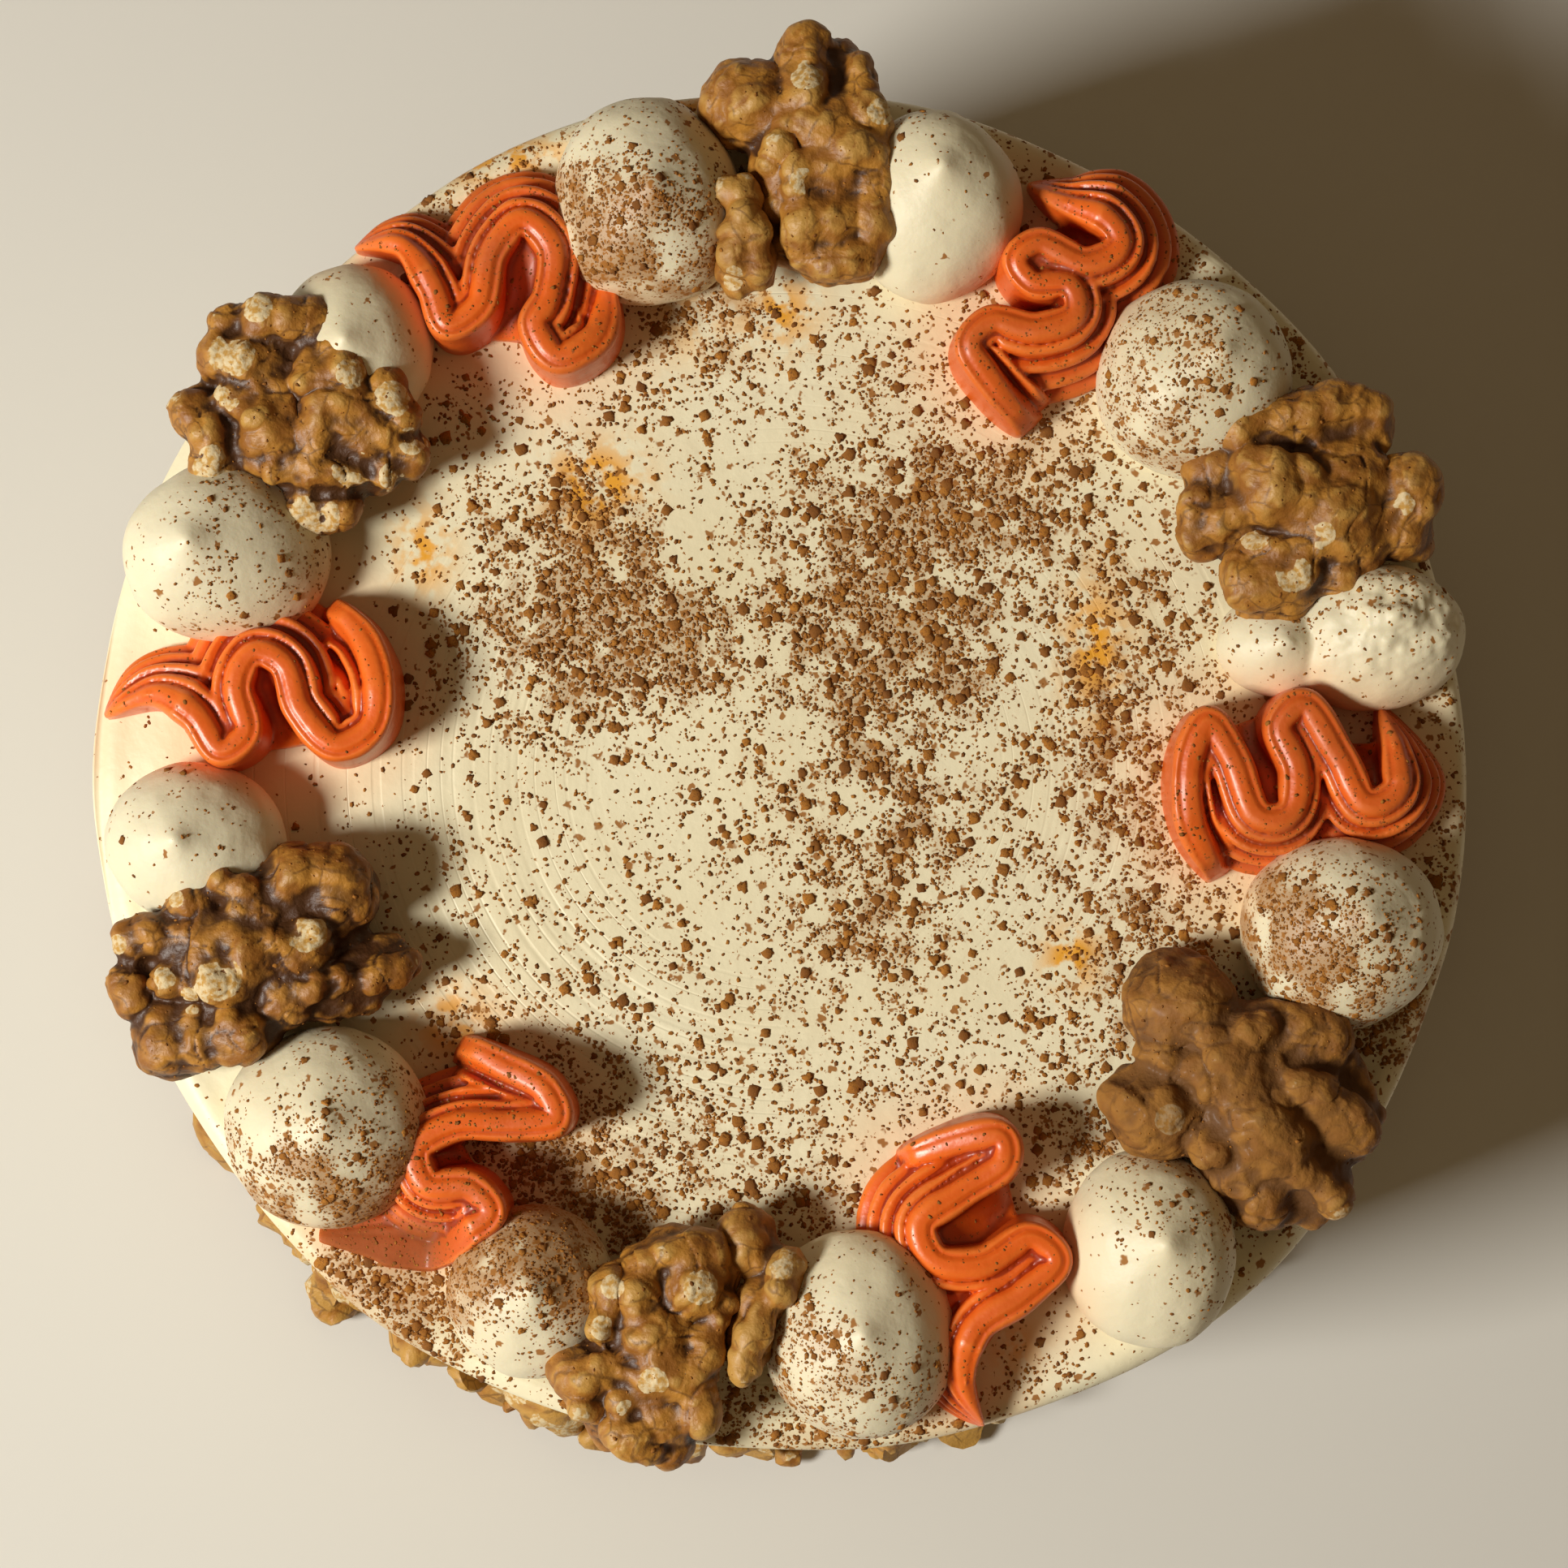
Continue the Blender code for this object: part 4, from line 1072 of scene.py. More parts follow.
    def section(self, reach: float) -> np.ndarray:
        """The ribbon's cut from its smooth foot to its ribbed foot.

        Args:
            reach: How far the ribs spread, in metres.

        Returns:
            Rows of the place across, the height and the share of the way down the ribs.
        """
        cut = []
        for s in np.linspace(0.0, 1.0, 8):
            cut.append((-self.HALF - self.SMOOTH_FOOT * (1.0 - s), 0.9 * self.HEIGHT * s, 0.0))
        for s in np.linspace(-1.0, 1.0, 17)[1:]:
            lip = self.LIP_GROOVE * math.exp(-(((s + 0.42) / 0.17) ** 2))
            cut.append((self.HALF * s, self.HEIGHT - lip - 0.9 * MM * s**4, 0.0))
        fall = cut[-1][1]
        for s in np.linspace(0.03, 1.0, 12 * self.RIBS):
            turn = 0.5 * math.pi * s
            swell = self.RIB_DEPTH * (abs(math.sin(math.pi * self.RIBS * s)) ** 0.9 - 0.78)
            across = self.HALF + reach * (0.55 * s + 0.45 * math.sin(turn)) + swell * math.sin(turn)
            up = fall * (0.5 * (1.0 - s) + 0.5 * math.cos(turn)) + swell * math.cos(turn)
            cut.append((across, max(0.0, up), s))
        cut.append((cut[-1][0], 0.0, 1.0))
        return np.array(cut)

    def ring(
        self, ruffle: Ruffle, cut: np.ndarray, gone: float, left: float
    ) -> Tuple[np.ndarray, np.ndarray]:
        """Fits the cut to one place on the line.

        Args:
            ruffle: Which ruffle.
            cut: Its plain cut.
            gone: How far that place is from the start, in metres.
            left: How far it is from the end, in metres.

        Returns:
            The places across and the heights there.
        """
        across, up, ribs = cut.T
        if ruffle.start is Start.SMEARED:
            flat = 1.0 - float(ease(np.array([gone]), self.SMEAR_FROM, self.SMEAR_TO)[0])
            point = 1.0 - min(1.0, 0.2 + 0.8 * gone / self.SMEAR_POINT)
            across = across * (1.0 - 0.05 * flat) * (1.0 - point) + (3.2 * point - 1.6 * flat) * MM
            up = up * (1.0 - 0.84 * flat)
        else:
            start = min(1.0, gone / self.TIP_LENGTH)
            across = across * (0.08 + 0.92 * start**0.8)
            up = up * (0.25 + 0.75 * start**0.6)
        ending = 1.0 - min(1.0, left / self.END_LENGTH)
        across = np.where(ribs > 0.0, across * (1.0 + 0.40 * ending), across * (1.0 - 0.45 * ending**3))
        finger = np.where(ribs > 0.0, (np.floor(ribs * self.RIBS * 0.999) + 0.6) / self.RIBS, 0.0)
        short = np.clip((left - self.FINGER_STEP * finger) / self.FINGER_ROUNDING, 0.0, 1.0)
        rounded = np.sqrt(1.0 - (1.0 - short) ** 2)
        parted = np.where(ribs > 0.0, 1.0 - np.abs(np.sin(math.pi * self.RIBS * ribs)), 0.0)
        lowered = up * (1.0 - 0.42 * ending**1.5) - self.FINGER_GAP * math.sqrt(ending) * parted
        return across, np.maximum(lowered, 0.0) * rounded

    def skin(self, name: str, rings: List[np.ndarray]) -> bpy.types.Object:
        """Joins rings of points into one closed body."""
        width = len(rings[0])
        faces = []
        for i, j in product(range(len(rings) - 1), range(width)):
            near, far, beside = i * width, (i + 1) * width, (j + 1) % width
            faces.append((near + j, near + beside, far + beside, far + j))
        last = (len(rings) - 1) * width
        faces += [tuple(range(width))[::-1], tuple(range(last, last + width))]
        piece = Bench.lay_out(name, rings, faces)
        Bench.take(piece)
        bpy.ops.object.mode_set(mode="EDIT")
        bpy.ops.mesh.select_all(action="SELECT")
        bpy.ops.mesh.normals_make_consistent(inside=False)
        bpy.ops.object.mode_set(mode="OBJECT")
        return piece

    def loft(self, name: str, ruffle: Ruffle) -> bpy.types.Object:
        """Carries the ribbon's cut along its line, held in at tight bends."""
        line, run = self.route(ruffle)
        side, bend = self.bends(line, run)
        cut = self.section(ruffle.reach * MM)
        rings = []
        for i, place in enumerate(line):
            across, up = self.ring(ruffle, cut, run[i], run[-1] - run[i])
            room = np.where(across * bend[i] > 0.0, self.ROOM / max(abs(bend[i]), 1.0), 1.0)
            across = room * np.tanh(across / room)
            flat = (place[None, :] + across[:, None] * side[i][None, :]) * (1.0 - up.max() / EYE_HEIGHT)
            rings.append(np.column_stack([flat, up + CAKE_HEIGHT - self.SUNK]))
        return self.skin(name, rings)

    def folds(self, name: str, ruffle: Ruffle) -> List[bpy.types.Object]:
        """Fills the folds on the smooth side, each from its bend down to the cake between two strands."""
        line, run = self.route(ruffle)
        _, bend = self.bends(line, run)
        tight = np.abs(bend) > self.TIGHT
        turns = []
        for i in range(1, len(line) - 1):
            if tight[i] and abs(bend[i]) >= abs(bend[i - 1]) and abs(bend[i]) > abs(bend[i + 1]):
                if turns and np.sign(bend[turns[-1]]) == np.sign(bend[i]):
                    turns[-1] = max(turns[-1], i, key=lambda k: abs(bend[k]))
                else:
                    turns.append(i)
        spared = self.SMEAR_TO if ruffle.start is Start.SMEARED else self.TIP_LENGTH / 2.0
        first = round(spared / self.STEP)
        stops = [first] + turns + [len(line) - 1]
        made = []
        for before, turn, after in zip(stops, stops[1:], stops[2:]):
            count = min(turn - before, after - turn)
            if bend[turn] > 0.0 or count < 4:
                continue
            rings = []
            for k in range(1, count):
                deep = self.HEIGHT * (self.FOLD_FROM - self.FOLD_FALL * (k / count) ** 1.3)
                ends = line[turn - k], line[turn + k]
                share = np.linspace(0.0, 1.0, self.FOLD_SIDES)[:, None]
                top = deep + (0.80 * self.HEIGHT - deep) * np.abs(2.0 * share - 1.0) ** 2.2
                flat = (ends[0] * (1.0 - share) + ends[1] * share) * (1.0 - self.FOLD_RISE / EYE_HEIGHT)
                over = np.column_stack([flat, top + CAKE_HEIGHT])
                foot = np.full((self.FOLD_SIDES, 1), CAKE_HEIGHT - self.SUNK)
                rings.append(np.concatenate([over, np.column_stack([flat[::-1], foot])]))
            made.append(self.skin(f"{name}_fold_{turn}", rings))
        return made

    def build(self, material: bpy.types.Material) -> List[bpy.types.Object]:
        """Makes every ruffle."""
        made = []
        for number, ruffle in enumerate(self.RUFFLES, 1):
            name = f"icing_ruffle_{number}"
            piece = Bench.join([self.loft(name, ruffle), *self.folds(name, ruffle)], name)
            Bench.finish(piece, "REMESH", mode="VOXEL", voxel_size=self.VOXEL)
            Bench.finish(piece, "SMOOTH", iterations=2)
            skin = Skin(piece)
            tremble = layered(skin.points, self.TREMBLE)
            skin.write(skin.points + skin.normals() * (tremble * MM)[:, None])
            # The crest value drives the painted shade in the creases and the painted highlight on the rails.
            skin.paint("crest", 0.5 + skin.crest(22) * 2.0)
            level = ruffle.dusting.value * (0.55 + 0.6 * soft_noise(skin.points, 5.0 * MM, 33))
            if ruffle.start is Start.SMEARED:
                south = ease(skin.points[:, 1], -53.0 * MM, -57.0 * MM)
                level = 0.4 * level + south * ease(skin.points[:, 0], -39.0 * MM, -44.0 * MM) * 0.8
            skin.paint("dust", level * ease(skin.normals()[:, 2], -0.3, 0.5))
            piece.data.materials.append(material)
            Bench.smooth(piece)
            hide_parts(f"ruffle_{number}")
            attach(piece, BODY)
            made.append(piece)
        return made


@dataclass(frozen=True)
class Kernel:
    """A walnut half or a broken bit: centre, high ridges, lower flanks and scraped spots, all in mm."""

    node: str
    x: float
    y: float
    ridges: Tuple[Lobe, ...]
    flanks: Tuple[Lobe, ...]
    scraped: Tuple[Tuple[float, float, float], ...]
    dust: float = 0.05
    tone: float = 0.0


class WalnutRing:
    """The walnut halves on the dollops."""

    RISE = 13.0 * MM
    LIFT = 2.6 * MM
    RIDGE = 8.6
    FLANK = 5.4
    BED = 5.4
    SWELL = 1.12
    BED_SPREAD = 1.64
    BED_DRAW = 0.87
    JITTER = 0.45
    DROOP = 0.013
    PITCH = 0.5
    CORE = 2.0 * MM
    VOXEL = 0.36 * MM
    KNOBS = ((5.0 * MM, 0.75, 0), (2.2 * MM, 0.30, 4), (1.0 * MM, 0.10, 5))
    FISSURE = 0.24
    # How far below a kernel's top its painted shade reaches full depth.
    LOW_SHADE_REACH = 6.0 * MM
    KERNELS = (
        Kernel("walnut_1", 3.4, 75.8,
               ((-0.5, 14.2, -1.0, 8.0, 2.9), (-1.5, 7.0, -5.0, 0.0, 2.1), (-9.6, 9.6, -7.6, 8.4, 3.5),
                (-10.0, 5.2, -4.0, 6.2, 1.6), (6.4, 12.0, 6.0, 6.4, 2.1), (6.2, 6.2, 8.2, 4.2, 2.8),
                (0.0, 4.0, 4.4, 0.4, 3.0), (7.6, 1.0, 7.6, -10.0, 2.6), (6.0, -12.2, 2.0, -12.6, 2.7),
                (-1.0, -2.4, -0.6, -11.0, 2.6)),
               ((3.6, 14.6, 3.0, 8.0, 2.1), (-5.0, -1.0, -3.2, -9.8, 2.3), (3.0, 4.0, 3.0, -8.0, 3.4)),
               ((-0.6, 10.0, 2.0), (8.6, 5.4, 1.6), (-1.0, -3.6, 1.6))),
        Kernel("walnut_2", 65.4, 32.8,
               ((-8.8, 9.4, -3.0, 10.8, 2.5), (-2.0, 11.4, 3.0, 12.0, 3.0), (4.0, 12.4, 7.6, 11.2, 2.9),
                (-13.4, 0.4, -14.4, -4.4, 2.3), (-12.0, -3.0, -9.0, -0.6, 1.9), (-6.0, 4.0, -4.6, 1.0, 3.7),
                (-1.0, 4.0, 0.0, -2.0, 2.4), (2.0, 0.0, 4.4, -4.0, 2.4), (-6.0, -7.0, 2.0, -5.2, 2.0),
                (-7.4, -10.0, -1.0, -8.6, 3.0), (13.4, 2.0, 13.0, -0.6, 3.1)),
               ((3.0, 6.0, 9.0, 2.0, 3.0), (-12.0, 7.0, -13.0, 3.0, 2.3), (-6.0, -13.2, -2.0, -12.8, 2.2),
                (8.0, -2.0, 13.6, -4.0, 2.5), (8.0, -6.0, 2.0, -11.0, 2.3), (-4.0, 2.0, 3.0, -2.0, 3.6)),
               ((-2.4, -9.2, 2.2), (1.0, -4.6, 1.6), (11.4, -0.6, 1.4), (-7.0, -4.6, 1.6)), 0.12),
        Kernel("walnut_3", 57.4, -41.2,
               ((-9.4, 12.8, -6.6, 11.4, 4.1), (-5.0, 8.0, -2.0, 7.6, 2.3), (0.0, 8.2, 1.6, 8.6, 2.5),
                (-12.4, 6.0, -4.0, 1.6, 1.9), (-4.0, 1.6, 2.0, -4.0, 2.3), (-15.2, -0.4, -10.2, -2.4, 3.6),
                (-6.0, -5.0, -4.6, -6.4, 2.4), (6.0, 1.4, 6.4, 1.6, 2.2), (9.0, 0.4, 13.8, -4.0, 2.9),
                (4.0, -7.0, 9.8, -11.4, 2.8)),
               ((3.0, 9.6, 10.0, 8.0, 2.9), (0.0, 5.0, 6.4, 4.0, 2.8), (-1.0, -10.0, 3.0, -13.6, 3.0),
                (6.0, -14.0, 10.0, -14.2, 1.8), (11.4, -9.0, 11.4, -12.8, 1.4), (12.0, 4.4, 15.8, -1.6, 1.8),
                (-3.0, 4.0, 3.0, -6.0, 4.0)),
               ((-10.0, -2.6, 1.8),), 0.62, -0.16),
        Kernel("walnut_4", -16.6, -71.2,
               ((3.0, 11.0, 7.4, 10.4, 3.0), (4.4, 9.0, 5.4, 6.4, 3.0), (-0.4, 9.0, -1.0, 4.0, 2.3),
                (-4.6, 7.0, -6.0, 1.6, 1.9), (9.0, 4.4, 6.0, -3.0, 2.0), (-9.6, -4.0, -4.0, -3.0, 2.5),
                (-8.2, -7.6, -7.4, -7.8, 2.1), (-3.0, -5.6, -3.6, -8.0, 1.9), (0.0, -4.0, 5.0, -4.2, 2.6),
                (5.6, -7.0, 6.4, -9.6, 2.3), (-3.0, -11.0, 0.0, -12.6, 2.6)),
               ((2.0, -14.0, 2.2, -13.6, 2.1), (-6.0, -11.0, -5.0, -11.4, 1.6), (0.0, 4.0, 2.0, -10.0, 3.6)),
               ((6.4, 7.0, 2.0), (-4.4, 7.0, 1.4), (-5.6, 2.0, 1.4), (0.6, -4.6, 1.8), (-2.6, -8.0, 1.2)),
               0.05, -0.07),
        Kernel("walnut_5", -66.6, -24.7,
               ((6.4, 10.8, 11.4, 10.4, 3.9), (0.0, 9.4, -3.0, 10.0, 2.6), (-6.4, 8.2, -8.6, 7.0, 2.5),
                (-12.0, 3.6, -14.8, 3.0, 2.6), (0.0, 6.4, 3.0, 6.4, 2.4), (7.4, 4.0, 7.8, 4.0, 2.4),
                (-8.0, 3.0, 3.0, 3.0, 1.9), (-3.2, -1.4, -2.6, -1.8, 3.0), (-9.6, -2.0, -6.0, -2.4, 2.0),
                (-15.0, -2.0, -14.0, -4.4, 2.3), (-10.4, -9.6, 0.0, -9.0, 3.3), (7.0, -3.0, 13.0, -2.0, 2.0),
                (15.0, -1.6, 19.0, 0.4, 2.3)),
               ((-11.6, -5.4, -8.0, -5.0, 1.9), (0.0, -4.6, 2.0, -3.6, 1.9), (15.0, -4.4, 9.6, -5.8, 1.8),
                (10.0, 2.6, 14.0, 4.0, 1.3), (5.0, -5.4, 3.0, -0.6, 2.6), (-8.0, 2.0, 6.0, 2.0, 3.6)),
               ((7.8, 4.0, 2.4), (-2.8, -1.6, 2.8), (-9.6, -1.6, 1.4), (-6.0, -4.4, 1.8), (-15.8, 2.4, 1.2),
                (-8.4, 8.0, 1.0)), 0.05, -0.20),
        Kernel("walnut_6", -60.1, 44.8,
               ((-4.4, 10.8, 0.6, 10.0, 3.1), (3.0, 9.0, 3.6, 7.0, 2.8), (-8.0, 11.4, -9.6, 10.4, 2.2),
                (-10.0, 6.4, -7.6, 5.2, 3.2), (-8.4, 1.0, -5.4, -1.0, 2.4), (-13.2, -1.0, -11.4, -3.0, 3.0),
                (-11.4, -4.6, -10.4, -8.0, 2.5), (1.6, 4.0, 6.4, 4.0, 2.6), (10.4, 2.0, 12.2, -2.0, 2.5),
                (3.0, -1.0, 2.0, -5.0, 2.4), (8.0, -3.0, 13.2, -6.0, 2.3), (-3.4, -8.0, 7.4, -8.4, 2.0),
                (10.4, -8.0, 12.6, -7.0, 2.4)),
               ((-7.4, -5.0, -3.6, -3.2, 2.6), (0.6, -13.4, 3.6, -13.6, 2.5), (4.4, -10.6, 5.2, -12.0, 1.9),
                (-6.0, 6.0, -4.0, -5.0, 3.4), (3.0, 5.0, 8.0, -4.0, 3.6)),
               ((-8.4, 6.0, 2.8), (-9.2, 1.0, 2.0), (-10.6, -8.0, 2.6), (-5.2, 11.8, 1.8), (6.6, 3.4, 1.8),
                (11.4, 0.4, 2.2), (13.8, -4.6, 1.6), (6.6, -8.2, 2.4), (1.6, -13.6, 3.0), (11.4, -9.0, 1.6)),
               0.05, -0.13),
        Kernel("walnut_chip_1", -5.3, 66.0,
               ((-1.6, 5.6, 1.0, 5.0, 1.9), (0.0, 2.0, -0.6, -2.2, 2.1), (1.6, 1.6, 2.4, -4.0, 1.8)),
               ((-1.0, -5.6, -0.6, -6.2, 1.3),), ((-1.0, -5.4, 1.2),), 0.25),
        Kernel("walnut_chip_2", -2.8, -69.0,
               ((2.8, 7.4, 2.2, 3.6, 2.0), (0.6, 2.6, -1.6, -3.8, 2.0), (-2.4, -6.0, -1.4, -5.4, 1.6)),
               ((-2.4, 12.6, -1.0, 9.6, 2.2),), ((2.6, 7.0, 1.2),), 0.15),
    )

    def add_row(
        self, lobe: Lobe, draw: float, swell: float, height: float, uneven: random.Random
    ) -> None:
        """Adds a row of overlapping balls to the mesh that is being edited.

        Args:
            lobe: Its two ends about the kernel's centre and its radius, in mm.
            draw: How far its ends are drawn to the centre, 1 being not at all.
            swell: How much fatter than stated it is.
            height: How high it lies, in mm.
            uneven: Where its unevenness comes from.
        """
        first = Vector((lobe[0] * draw, lobe[1] * draw, height))
        second = Vector((lobe[2] * draw, lobe[3] * draw, height))
        radius = lobe[4] * swell
        balls = max(2, 1 + round((second - first).length / (radius * self.PITCH)))
        for i in range(balls):
            centre = first.lerp(second, i / (balls - 1))
            centre += any_way(uneven) * self.JITTER
            centre.z -= self.DROOP * (centre.x**2 + centre.y**2)
            ball = radius * uneven.uniform(0.84, 1.12) * MM
            bpy.ops.mesh.primitive_ico_sphere_add(subdivisions=2, radius=ball, location=centre * MM)

    def lay(self, kernel: Kernel) -> bpy.types.Object:
        """Lays out a kernel's lobes and fuses them into one body."""
        Bench.clear()
        core = (0.0, 0.0, self.BED * MM)
        bpy.ops.mesh.primitive_ico_sphere_add(subdivisions=2, radius=self.CORE, location=core)
        piece = bpy.context.object
        piece.name = kernel.node.replace("walnut", "kernel")
        Bench.seat(piece)
        uneven = random.Random(kernel.node)
        bpy.ops.object.mode_set(mode="EDIT")
        for lobes, height in ((kernel.ridges, self.RIDGE), (kernel.flanks, self.FLANK)):
            for lobe in lobes:
                self.add_row(lobe, 1.0, self.SWELL, height, uneven)
                self.add_row(lobe, self.BED_DRAW, self.BED_SPREAD, self.BED, uneven)
        bpy.ops.object.mode_set(mode="OBJECT")
        Bench.finish(piece, "REMESH", mode="VOXEL", voxel_size=self.VOXEL)
        Bench.finish(piece, "SMOOTH", iterations=8)
        return piece

    def wrinkle(self, skin: Skin, seed: int) -> None:
        """Roughens a kernel: knobs, small wrinkles and thin fissures."""
        points = skin.points
        push = np.column_stack([soft_noise(points, 5.0 * MM, seed + k) for k in (1, 2, 3)])
        warped = points + push * 1.6 * MM
        knobs = layered(points, self.KNOBS, seed=seed)
        fissure = ease(np.abs(soft_noise(warped, 6.0 * MM, seed + 6)), 0.10, 0.0)
        fissure += 0.6 * ease(np.abs(soft_noise(warped, 3.4 * MM, seed + 7)), 0.09, 0.0)
        skin.write(points + skin.normals() * ((knobs - self.FISSURE * fissure) * MM)[:, None])

    def paint(self, skin: Skin, kernel: Kernel, seed: int) -> None:
        """Paints how high each point stands, which the finish turns into painted shade in the valleys and low
        down and a painted highlight on the ridges, where it is scraped, and its dust.
        """
        points, normals = skin.points, skin.normals()
        fine, broad = skin.crest(10), skin.crest(90)
        # Painted shade: points further below the kernel's top get a lower crest, so they are painted darker.
        low = np.clip((points[:, 2].max() - points[:, 2]) / self.LOW_SHADE_REACH, 0.0, 1.5)
        skin.paint("crest", 0.60 + kernel.tone + fine * 1.2 + broad * 0.34 - 0.22 * low)
        marks = np.zeros(skin.count)
        for x, y, reach in kernel.scraped:
            px, py = drawn_in(kernel.x + x, kernel.y + y, self.RISE)
            far = np.hypot(points[:, 0] - px, points[:, 1] - py) / (reach * MM)
            marks = np.maximum(marks, ease(far, 1.35, 0.75))
        rubbed = ease(broad, 0.35, 0.85) * 0.62
        rubbed *= ease(soft_noise(points, 4.5 * MM, seed + 8), -0.1, 0.5)
        scraped = np.maximum(marks * ease(broad, -0.3, 0.3), rubbed)
        skin.paint("scraped", scraped * ease(normals[:, 2], 0.0, 0.4))
        level = kernel.dust * (1.0 + 0.5 * soft_noise(points, 6.0 * MM, 15))
        skin.paint("dust", level * ease(normals[:, 2], -0.3, 0.4))

    def build(self, material: bpy.types.Material) -> List[bpy.types.Object]:
        """Makes every kernel."""
        made = []
        for number, kernel in enumerate(self.KERNELS):
            piece = self.lay(kernel)
            skin = Skin(piece)
            self.wrinkle(skin, 10 * number)
            shrink = 1.0 - self.RISE / EYE_HEIGHT
            place = np.array([*drawn_in(kernel.x, kernel.y, self.RISE), CAKE_HEIGHT + self.LIFT])
            settled = skin.points * np.array([shrink, shrink, 1.0]) + place
            settled[:, 2] = np.maximum(settled[:, 2], CAKE_HEIGHT + 0.1 * MM)
            skin.write(settled)
            self.paint(skin, kernel, 10 * number)
            piece.data.materials.append(material)
            Bench.smooth(piece)
            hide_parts(kernel.node)
            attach(piece, BODY)
            made.append(piece)
        return made


class FootBand:
    """Chopped walnuts pressed into the foot of the cake."""

    KINDS = 7
    CHUNKS = 340
    TOP = 21.0 * MM
    SMALL = 2.0 * MM
    LARGE = 5.8 * MM
    SEED = 19
    LOOSE_SIDE = math.radians(235.0)
    LOOSE_SHARE = 0.3
    LOOSE_SPREAD = 0.6
    LUMPS = ((0.8, 0.35, 50), (0.35, 0.12, 60))
    KNOBS = ((2.2 * MM, 0.35, 71), (1.0 * MM, 0.12, 72))

    def chunk(self, number: int, draw: random.Random) -> bpy.types.Object:
        """Models one broken bit, a unit across: lumpy, with flat broken faces."""
        Bench.clear()
        bpy.ops.mesh.primitive_ico_sphere_add(subdivisions=3, radius=1.0, location=(0.0, 0.0, 0.0))
        piece = bpy.context.object
        piece.name = f"chopped_{number}"
        skin = Skin(piece)
        lumps = layered(skin.points, self.LUMPS, seed=number)
        skin.write(skin.points * (1.0 + lumps)[:, None] * np.array([1.25, 0.85, 0.75]))
        bpy.ops.object.mode_set(mode="EDIT")
        for _ in range(2):
            way = any_way(draw).normalized()
            bpy.ops.mesh.select_all(action="SELECT")
            spot = way * draw.uniform(0.45, 0.7)
            bpy.ops.mesh.bisect(plane_co=spot, plane_no=way, use_fill=True, clear_outer=True)
        bpy.ops.mesh.select_all(action="SELECT")
        bpy.ops.mesh.quads_convert_to_tris()
        bpy.ops.object.mode_set(mode="OBJECT")
        return piece

    def place(self, draw: random.Random, kind: np.ndarray) -> np.ndarray:
        """Turns and sets one chunk's points against the wall."""
        size = self.SMALL + (self.LARGE - self.SMALL) * draw.random() ** 1.5
        angle = draw.uniform(0.0, 2.0 * math.pi)
        if draw.random() < self.LOOSE_SHARE:
            angle = draw.gauss(self.LOOSE_SIDE, self.LOOSE_SPREAD)
        height = size * 0.55 + (self.TOP - size) * draw.random() ** 1.7
        loose = 2.0 + 8.5 * max(0.0, math.cos(angle - self.LOOSE_SIDE)) ** 2
        reach = CAKE_RADIUS + size * draw.uniform(-0.05, 0.6)
        reach += loose * MM * (1.0 - height / self.TOP) * draw.random()
        roll = Matrix.Rotation(draw.uniform(0.0, TURN), 4, "X")
        turn = np.array((roll @ Matrix.Rotation(draw.uniform(0.0, TURN), 4, "Z")).to_3x3())
        points = kind @ turn.T * size
        points[:, 0] *= 0.8
        cosine, sine = math.cos(angle), math.sin(angle)
        swing = np.array([[cosine, -sine, 0], [sine, cosine, 0], [0, 0, 1]])
        points = points @ swing.T + np.array([reach * cosine, reach * sine, height])
        points[:, 2] += max(0.0, 0.2 * MM - points[:, 2].min())
        return points

    def build(self, material: bpy.types.Material) -> bpy.types.Object:
        """Models the kinds of chunk and sets copies of them round the foot."""
        draw = random.Random(self.SEED)
        kinds = []
        for number in range(self.KINDS):
            model = self.chunk(number, draw)
            corners = np.array([vertex.co for vertex in model.data.vertices])
            kinds.append((corners, [tuple(face.vertices) for face in model.data.polygons]))
            bpy.data.objects.remove(model)
        points, faces, shades, count = [], [], [], 0
        for _ in range(self.CHUNKS):
            corners, sides = kinds[draw.randrange(self.KINDS)]
            placed = self.place(draw, corners)
            points.append(placed)
            faces += [tuple(count + index for index in side) for side in sides]
            shades.append(np.full(len(placed), draw.uniform(0.25, 0.85)))
            count += len(placed)
        band = Bench.lay_out("chopped_walnuts", points, faces)
        skin = Skin(band)
        knobs = layered(skin.points, self.KNOBS)
        skin.write(skin.points + skin.normals() * (knobs * MM)[:, None])
        # Each chunk's own tone plus its convexity: the finish paints shade in the hollows and a tan highlight
        # on the knobs.
        skin.paint("crest", np.concatenate(shades) * 0.35 + 0.35 + skin.crest(4) * 0.8)
        skin.paint("scraped", 0.8 * ease(soft_noise(skin.points, 3.5 * MM, 73), 0.15, 0.5))
        skin.paint("dust", np.full(skin.count, 0.06))
        band.data.materials.append(material)
        Bench.take(band)
        bpy.ops.object.shade_smooth_by_angle(angle=math.radians(50.0))
        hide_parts("nut_band")
        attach(band, BODY)
        return band


